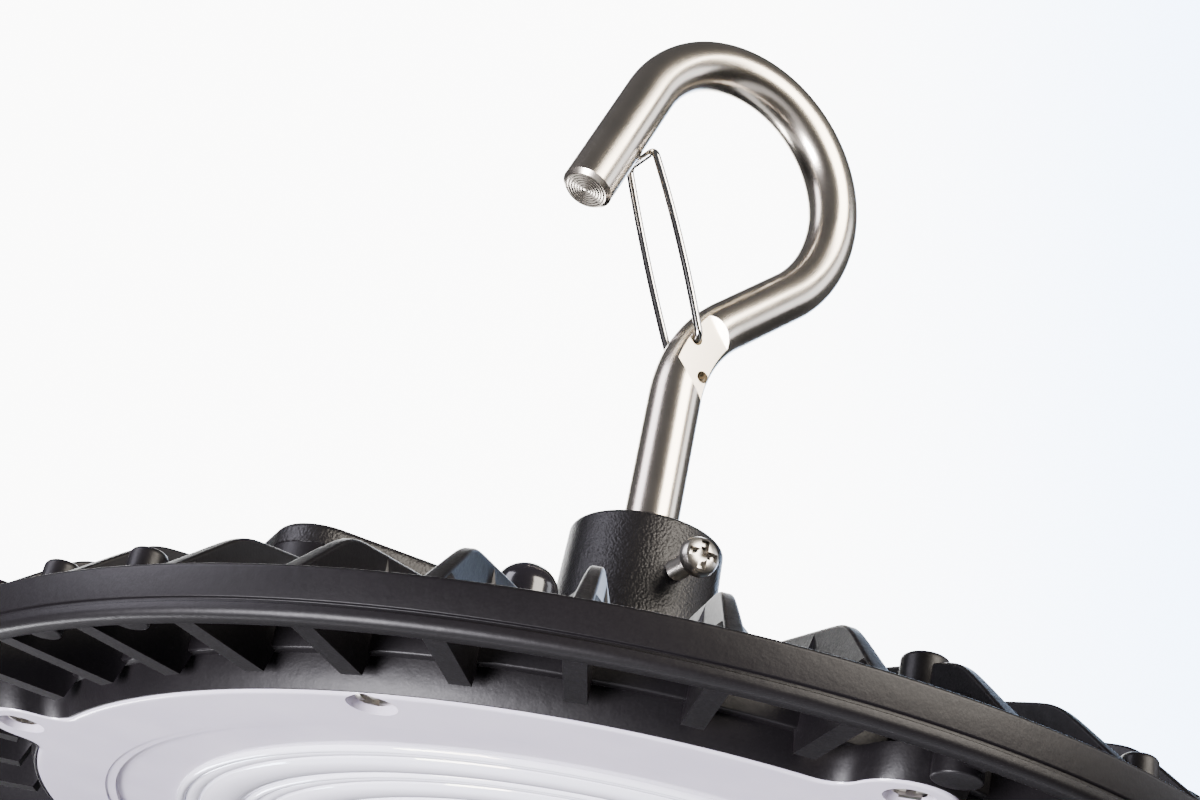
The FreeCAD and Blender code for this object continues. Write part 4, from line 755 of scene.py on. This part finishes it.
for spot in lens_spots:
    pocket_tools.append(tool_rod(Matrix.Translation((*spot, lens_head_seat - tool_length / 2)),
                                 pocket_radius, tool_length, 64))
    pocket_tools.append(tool_rod(Matrix.Translation((*spot, 4.0)), shank_hole, tool_length, 32))
pillars = bmesh.new()
for spot in lens_spots[4:]:
    add_turned(pillars, [(1.9, 3.0), (3.52, 3.0), (3.52, 2.3), (4.2, 2.3), (4.2, 3.6),
                         (1.9, 3.6)], 48, spot)
# The casting's seat stands round the lens as a thin black wall, so that no edge of it glows.
skirt = bmesh.new()
join_loops(skirt, [ring_loop([radius + out for radius in edge], height) for out, height in (
    (0.1, 5.05), (0.1, 0.62), (0.22, 0.5), (0.4, 0.55), (1.3, 2.2), (1.7, 5.05))], close=True)
finish_piece("heatsink_lens_seat", skirt, satin_coat)
finish_piece("lens_pillars", pillars, milky_lens)
cut_out(lens_plate, pocket_tools, sharp=35)
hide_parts("lens")

# Clear polycarbonate, moulded against a mirror-polished die: wet-looking streaks of light run
# round the rings, with a trace of rainbow from the skin's stress.
clear_optic, optic_shader, _ = new_material("clear_polycarbonate_optic", "#ecebf5", 0.05)
optic_shader.inputs["IOR"].default_value = 1.58
optic_shader.inputs["Coat Weight"].default_value = 1.0
optic_shader.inputs["Coat Roughness"].default_value = 0.03
optic_shader.inputs["Subsurface Weight"].default_value = 0.5
optic_shader.inputs["Subsurface Radius"].default_value = (0.006, 0.006, 0.006)
optic_shader.inputs["Thin Film Thickness"].default_value = 420.0
optic_shader.inputs["Thin Film IOR"].default_value = 1.42
# Each ring is a wide crown over a row of chips and two narrow ones beside it.
optic_radius, optic_pitch, optic_gap, optic_back, optic_base = 67.5, 10.4, 0.1, 1.8, 1.42
crowns = ((3.3, 3.2, 1.08), (7.6, 1.1, 0.5), (9.5, 0.8, 0.8))
optics = bmesh.new()
for index in range(6):
    inner = optic_radius - optic_pitch * (index + 1)
    outline = [(inner, optic_back)]
    for middle, half, fall in crowns:
        for step in range(9):
            swing = math.pi * step / 8
            outline.append((inner + middle - half * math.cos(swing),
                            optic_base - fall * math.sin(swing)))
    outline.append((inner + optic_pitch - optic_gap, optic_back))
    add_turned(optics, outline, 400)
finish_piece("ring_optics", optics, clear_optic)

# ------------------------------------------------------------ breather plug
# A small glossy plastic breather keeps the driver box free of condensation. Its domed cap
# stands on a round flange, with a rubber seal below, and it screws into the lid.
#
# Black polyamide, moulded in a polished die: a hard gloss with a slight ripple of shrinkage.
gloss_plastic, gloss_shader, place = new_material("gloss_black_polyamide", "#1d1b20", 0.2)
gloss_shader.inputs["Coat Weight"].default_value = 0.5
gloss_shader.inputs["Coat Roughness"].default_value = 0.05
ripple = add_node(gloss_plastic, "TexNoise", Vector=place, Scale=1 / (3 * MM), Detail=1.0)
wave = add_node(gloss_plastic, "Bump", Height=ripple.outputs["Fac"], Strength=0.05,
                Distance=0.1 * MM)
link(gloss_plastic, wave.outputs["Normal"], gloss_shader.inputs["Normal"])
vent_spot, vent_seat, vent_stem, vent_bottom = (-26.6, -16.0), 37.6, 3.0, 32.0
flange, flange_high, cap, cap_high, dome_high = 5.6, 2.2, 5.3, 4.0, 4.6
dome = [Vector((cap * math.cos(math.radians(9 * step)),
                vent_seat + cap_high + dome_high * math.sin(math.radians(9 * step))))
        for step in range(1, 11)]
vent = bmesh.new()
add_turned(vent, turn_corners([(0, vent_bottom, 0), (vent_stem, vent_bottom, 0.3),
                               (vent_stem, vent_seat, 0), (flange, vent_seat, 0.3),
                               (flange, vent_seat + flange_high, 0.5),
                               (cap, vent_seat + flange_high, 0),
                               (cap, vent_seat + cap_high, 0)], 4) + dome, 72, vent_spot)
vent_cap = finish_piece("vent_cap", vent, gloss_plastic)
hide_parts("vent_plug")

# ------------------------------------------------------------ inner pieces and seals
# The board, driver, seals, gland and fasteners inside keep their own solids. Each gets the
# finish of what it is made of.
def paint(names, material):
    """Gives the named solids a material."""
    for name in names:
        nodes[name].data.materials.clear()
        nodes[name].data.materials.append(material)


def plain_finish(name, colour, roughness, metallic, grain_mm, strength):
    """A finish with a fine grain of its own: a tone that wanders and a slight relief."""
    material, shader, spot = new_material(name, colour, roughness, metallic)
    base = linear(colour)
    noise = add_node(material, "TexNoise", Vector=spot, Scale=1 / (grain_mm * MM), Detail=3.0)
    ramp = add_node(material, "ValToRGB", Fac=noise.outputs["Fac"])
    ramp.color_ramp.elements[0].color = [part * 0.88 for part in base[:3]] + [1.0]
    ramp.color_ramp.elements[1].color = [min(1.0, part * 1.1) for part in base[:3]] + [1.0]
    link(material, ramp.outputs["Color"], shader.inputs["Base Color"])
    relief = add_node(material, "Bump", Height=noise.outputs["Fac"], Strength=strength,
                      Distance=0.1 * MM)
    link(material, relief.outputs["Normal"], shader.inputs["Normal"])
    return material


paint(["lid_gasket", "lid_screw_seals", "lens_gasket", "lead_grommet", "vent_seal",
       "gland_seal", "gland_insert"],
      plain_finish("moulded_epdm_rubber", "#1c1b1b", 0.7, 0.0, 0.6, 0.2))
paint(["hook_washer", "hook_nut", "board_screws", "driver_screws"], plated_steel)
paint(["earth_screw"], plain_finish("yellow_passivated_zinc", "#b7a566", 0.35, 1.0, 0.8, 0.1))
paint(["thermal_pad"], plain_finish("silicone_heat_pad", "#8f9499", 0.8, 0.0, 0.8, 0.2))
paint(["led_board"], plain_finish("white_solder_mask", "#e9e8e3", 0.35, 0.0, 1.5, 0.05))
paint(["led_chips"], plain_finish("phosphor_gel", "#e3c257", 0.25, 0.0, 0.5, 0.05))
paint(["led_leads"], plain_finish("silicone_wire_jacket", "#a3231c", 0.45, 0.0, 1.0, 0.05))
paint(["driver_insulator"], plain_finish("polyester_film", "#d9d2b8", 0.3, 0.0, 2.0, 0.02))
paint(["driver_board"], plain_finish("green_circuit_laminate", "#1f6b3a", 0.4, 0.0, 0.9, 0.1))
paint(["transformer", "choke"], plain_finish("ferrite_and_tape", "#4a4538", 0.55, 0.0, 1.2, 0.2))
paint(["storage_capacitors"], plain_finish("sleeved_aluminium_can", "#23262e", 0.3, 0.0, 1, 0.05))
paint(["transistors"], plain_finish("black_epoxy_package", "#1a1a1a", 0.5, 0.0, 0.4, 0.15))
paint(["film_capacitor"], plain_finish("yellow_capacitor_case", "#c99b2b", 0.4, 0.0, 1.0, 0.1))
paint(["input_terminal", "output_terminal"],
      plain_finish("green_terminal_polyamide", "#2f7a3c", 0.35, 0.0, 1.0, 0.1))
paint(["gland_body", "gland_nut", "gland_locknut"],
      plain_finish("black_gland_polyamide", "#1b1b1c", 0.38, 0.0, 1.2, 0.1))

# ------------------------------------------------------------ studio: floor, light and camera
# The lamp hangs above a pale floor in soft light, in front of a lit white backdrop. Three panels
# stand where the upright steel and coat mirror them, a low one lights the lens, and one behind
# draws the streaks along the ring optics.
def add_stage(name, mesh, material):
    """A thing of the studio, in metres, that isn't part of the lamp."""
    data = bpy.data.meshes.new(name)
    mesh.to_mesh(data)
    mesh.free()
    data.materials.append(material)
    thing = bpy.data.objects.new(name, data)
    bpy.context.scene.collection.objects.link(thing)
    return thing


# Painted floor: matt, with a tone that wanders over 25 mm.
floor_radius, floor_drop = 1.6, 1.1
pale_floor, floor_shader, place = new_material("pale_studio_floor", "#f4f4f6", 0.8)
speckle = add_node(pale_floor, "TexNoise", Vector=place, Scale=1 / (25 * MM), Detail=3.0)
floor_tone = add_node(pale_floor, "ValToRGB", Fac=speckle.outputs["Fac"])
floor_tone.color_ramp.elements[0].color = linear("#f1f1f4")
floor_tone.color_ramp.elements[1].color = linear("#f7f7f8")
link(pale_floor, floor_tone.outputs["Color"], floor_shader.inputs["Base Color"])
floor_mesh = bmesh.new()
bmesh.ops.create_circle(floor_mesh, cap_ends=True, radius=floor_radius, segments=128)
bmesh.ops.translate(floor_mesh, vec=(0, 0, -floor_drop), verts=floor_mesh.verts)
add_stage("studio_floor", floor_mesh, pale_floor)

# The camera looks up at the lamp's front from below, turned a little about its own line of sight.
view_right = Vector((0.87398, -0.44957, 0.18454))
view_up = Vector((-0.35883, -0.34091, 0.86892))
view_ahead = Vector((0.32772, 0.82563, 0.45927))
camera_place = Vector((-133.65, -300.19, -78.4)) * MM
camera = bpy.data.objects.new("camera", bpy.data.cameras.new("camera"))
camera.data.lens, camera.data.sensor_width = 60.0, 36.0
camera.data.clip_start = 0.01
view_turn = Matrix((view_right, view_up, -view_ahead)).transposed().to_4x4()
camera.matrix_world = Matrix.Translation(camera_place) @ view_turn
bpy.context.scene.collection.objects.link(camera)
bpy.context.scene.camera = camera

# The surround gives only a faint light from above, so that the black coat stays black, but it
# is seen as a pale wall.
wall_seen = 1.6
world = bpy.data.worlds.new("studio")
world.use_nodes = True
bpy.context.scene.world = world
sky = world.node_tree.nodes["Background"]
sky.inputs["Color"].default_value = linear("#f4f4fb")
heading = add_node(world, "TexCoord")
rise = add_node(world, "SeparateXYZ", Vector=heading.outputs["Generated"])
glow = add_node(world, "MapRange", Value=rise.outputs["Z"])
glow.inputs["From Min"].default_value, glow.inputs["From Max"].default_value = -0.1, 0.1
glow.inputs["To Min"].default_value, glow.inputs["To Max"].default_value = 0.01, 0.12
rays = add_node(world, "LightPath")
seen = add_node(world, "MapRange", Value=rays.outputs["Is Camera Ray"])
seen.inputs["To Max"].default_value = wall_seen
strength = add_node(world, "Math", {"operation": "MAXIMUM"}, i0=glow.outputs["Result"],
                    i1=seen.outputs["Result"])
link(world, strength.outputs["Value"], sky.inputs["Strength"])

# The backdrop is lit cloth, white with a cool tint towards its right edge. It is only as large
# as the camera's view, so that the steel keeps dark edges.
drop_half_width, drop_half_height, drop_distance, drop_glow = 1.0, 0.72, 2.4, 10.0
lit_backdrop, drop_shader, place = new_material("lit_backdrop", "#ffffff", 0.9)
sweep = add_node(lit_backdrop, "SeparateXYZ", Vector=place)
blue = add_node(lit_backdrop, "MapRange", {"interpolation_type": "SMOOTHSTEP"},
                Value=sweep.outputs["X"])
blue.inputs["From Min"].default_value, blue.inputs["From Max"].default_value = 0.15, 1.0
tint = add_node(lit_backdrop, "ValToRGB", Fac=blue.outputs["Result"])
tint.color_ramp.elements[0].color = linear("#fffffe")
tint.color_ramp.elements[1].color = linear("#bcd8ff")
link(lit_backdrop, tint.outputs["Color"], drop_shader.inputs["Emission Color"])
drop_shader.inputs["Emission Strength"].default_value = drop_glow
drop_mesh = bmesh.new()
bmesh.ops.create_grid(drop_mesh, x_segments=8, y_segments=8, size=1.0)
bmesh.ops.scale(drop_mesh, vec=(drop_half_width, drop_half_height, 1.0), verts=drop_mesh.verts)
backdrop = add_stage("studio_backdrop", drop_mesh, lit_backdrop)
backdrop.matrix_world = Matrix.Translation(view_ahead * drop_distance) @ view_turn


def add_panel(name, spot, target, width, height, power, colour):
    """A soft light panel that faces a height on the lamp's axis. Sizes in metres, power in W."""
    light = bpy.data.lights.new(name, "AREA")
    light.shape, light.size, light.size_y, light.energy = "RECTANGLE", width, height, power
    light.color = linear(colour)[:3]
    panel = bpy.data.objects.new(name, light)
    panel.location = spot
    facing = Vector((0, 0, target)) - Vector(spot)
    panel.rotation_euler = facing.to_track_quat("-Z", "Y").to_euler()
    bpy.context.scene.collection.objects.link(panel)


lens_height, lid_height, hook_height = 0.0, 0.05, 0.11
add_panel("left_panel", (-0.8, 0.08, 0.42), lid_height, 0.4, 0.6, 6.0, "#f3f0ff")
add_panel("front_panel", (0.26, -0.82, 0.48), hook_height, 0.58, 0.6, 20.0, "#fff6ea")
add_panel("right_panel", (0.78, -0.35, 0.42), lid_height, 0.3, 0.5, 1.6, "#f4f6ff")
add_panel("ring_panel", (-0.3, 0.95, -0.5), lens_height, 0.22, 0.4, 7.0, "#fbfaff")
add_panel("low_panel", (-0.72, -0.32, -0.42), lens_height, 0.4, 0.4, 32.0, "#faf7ff")
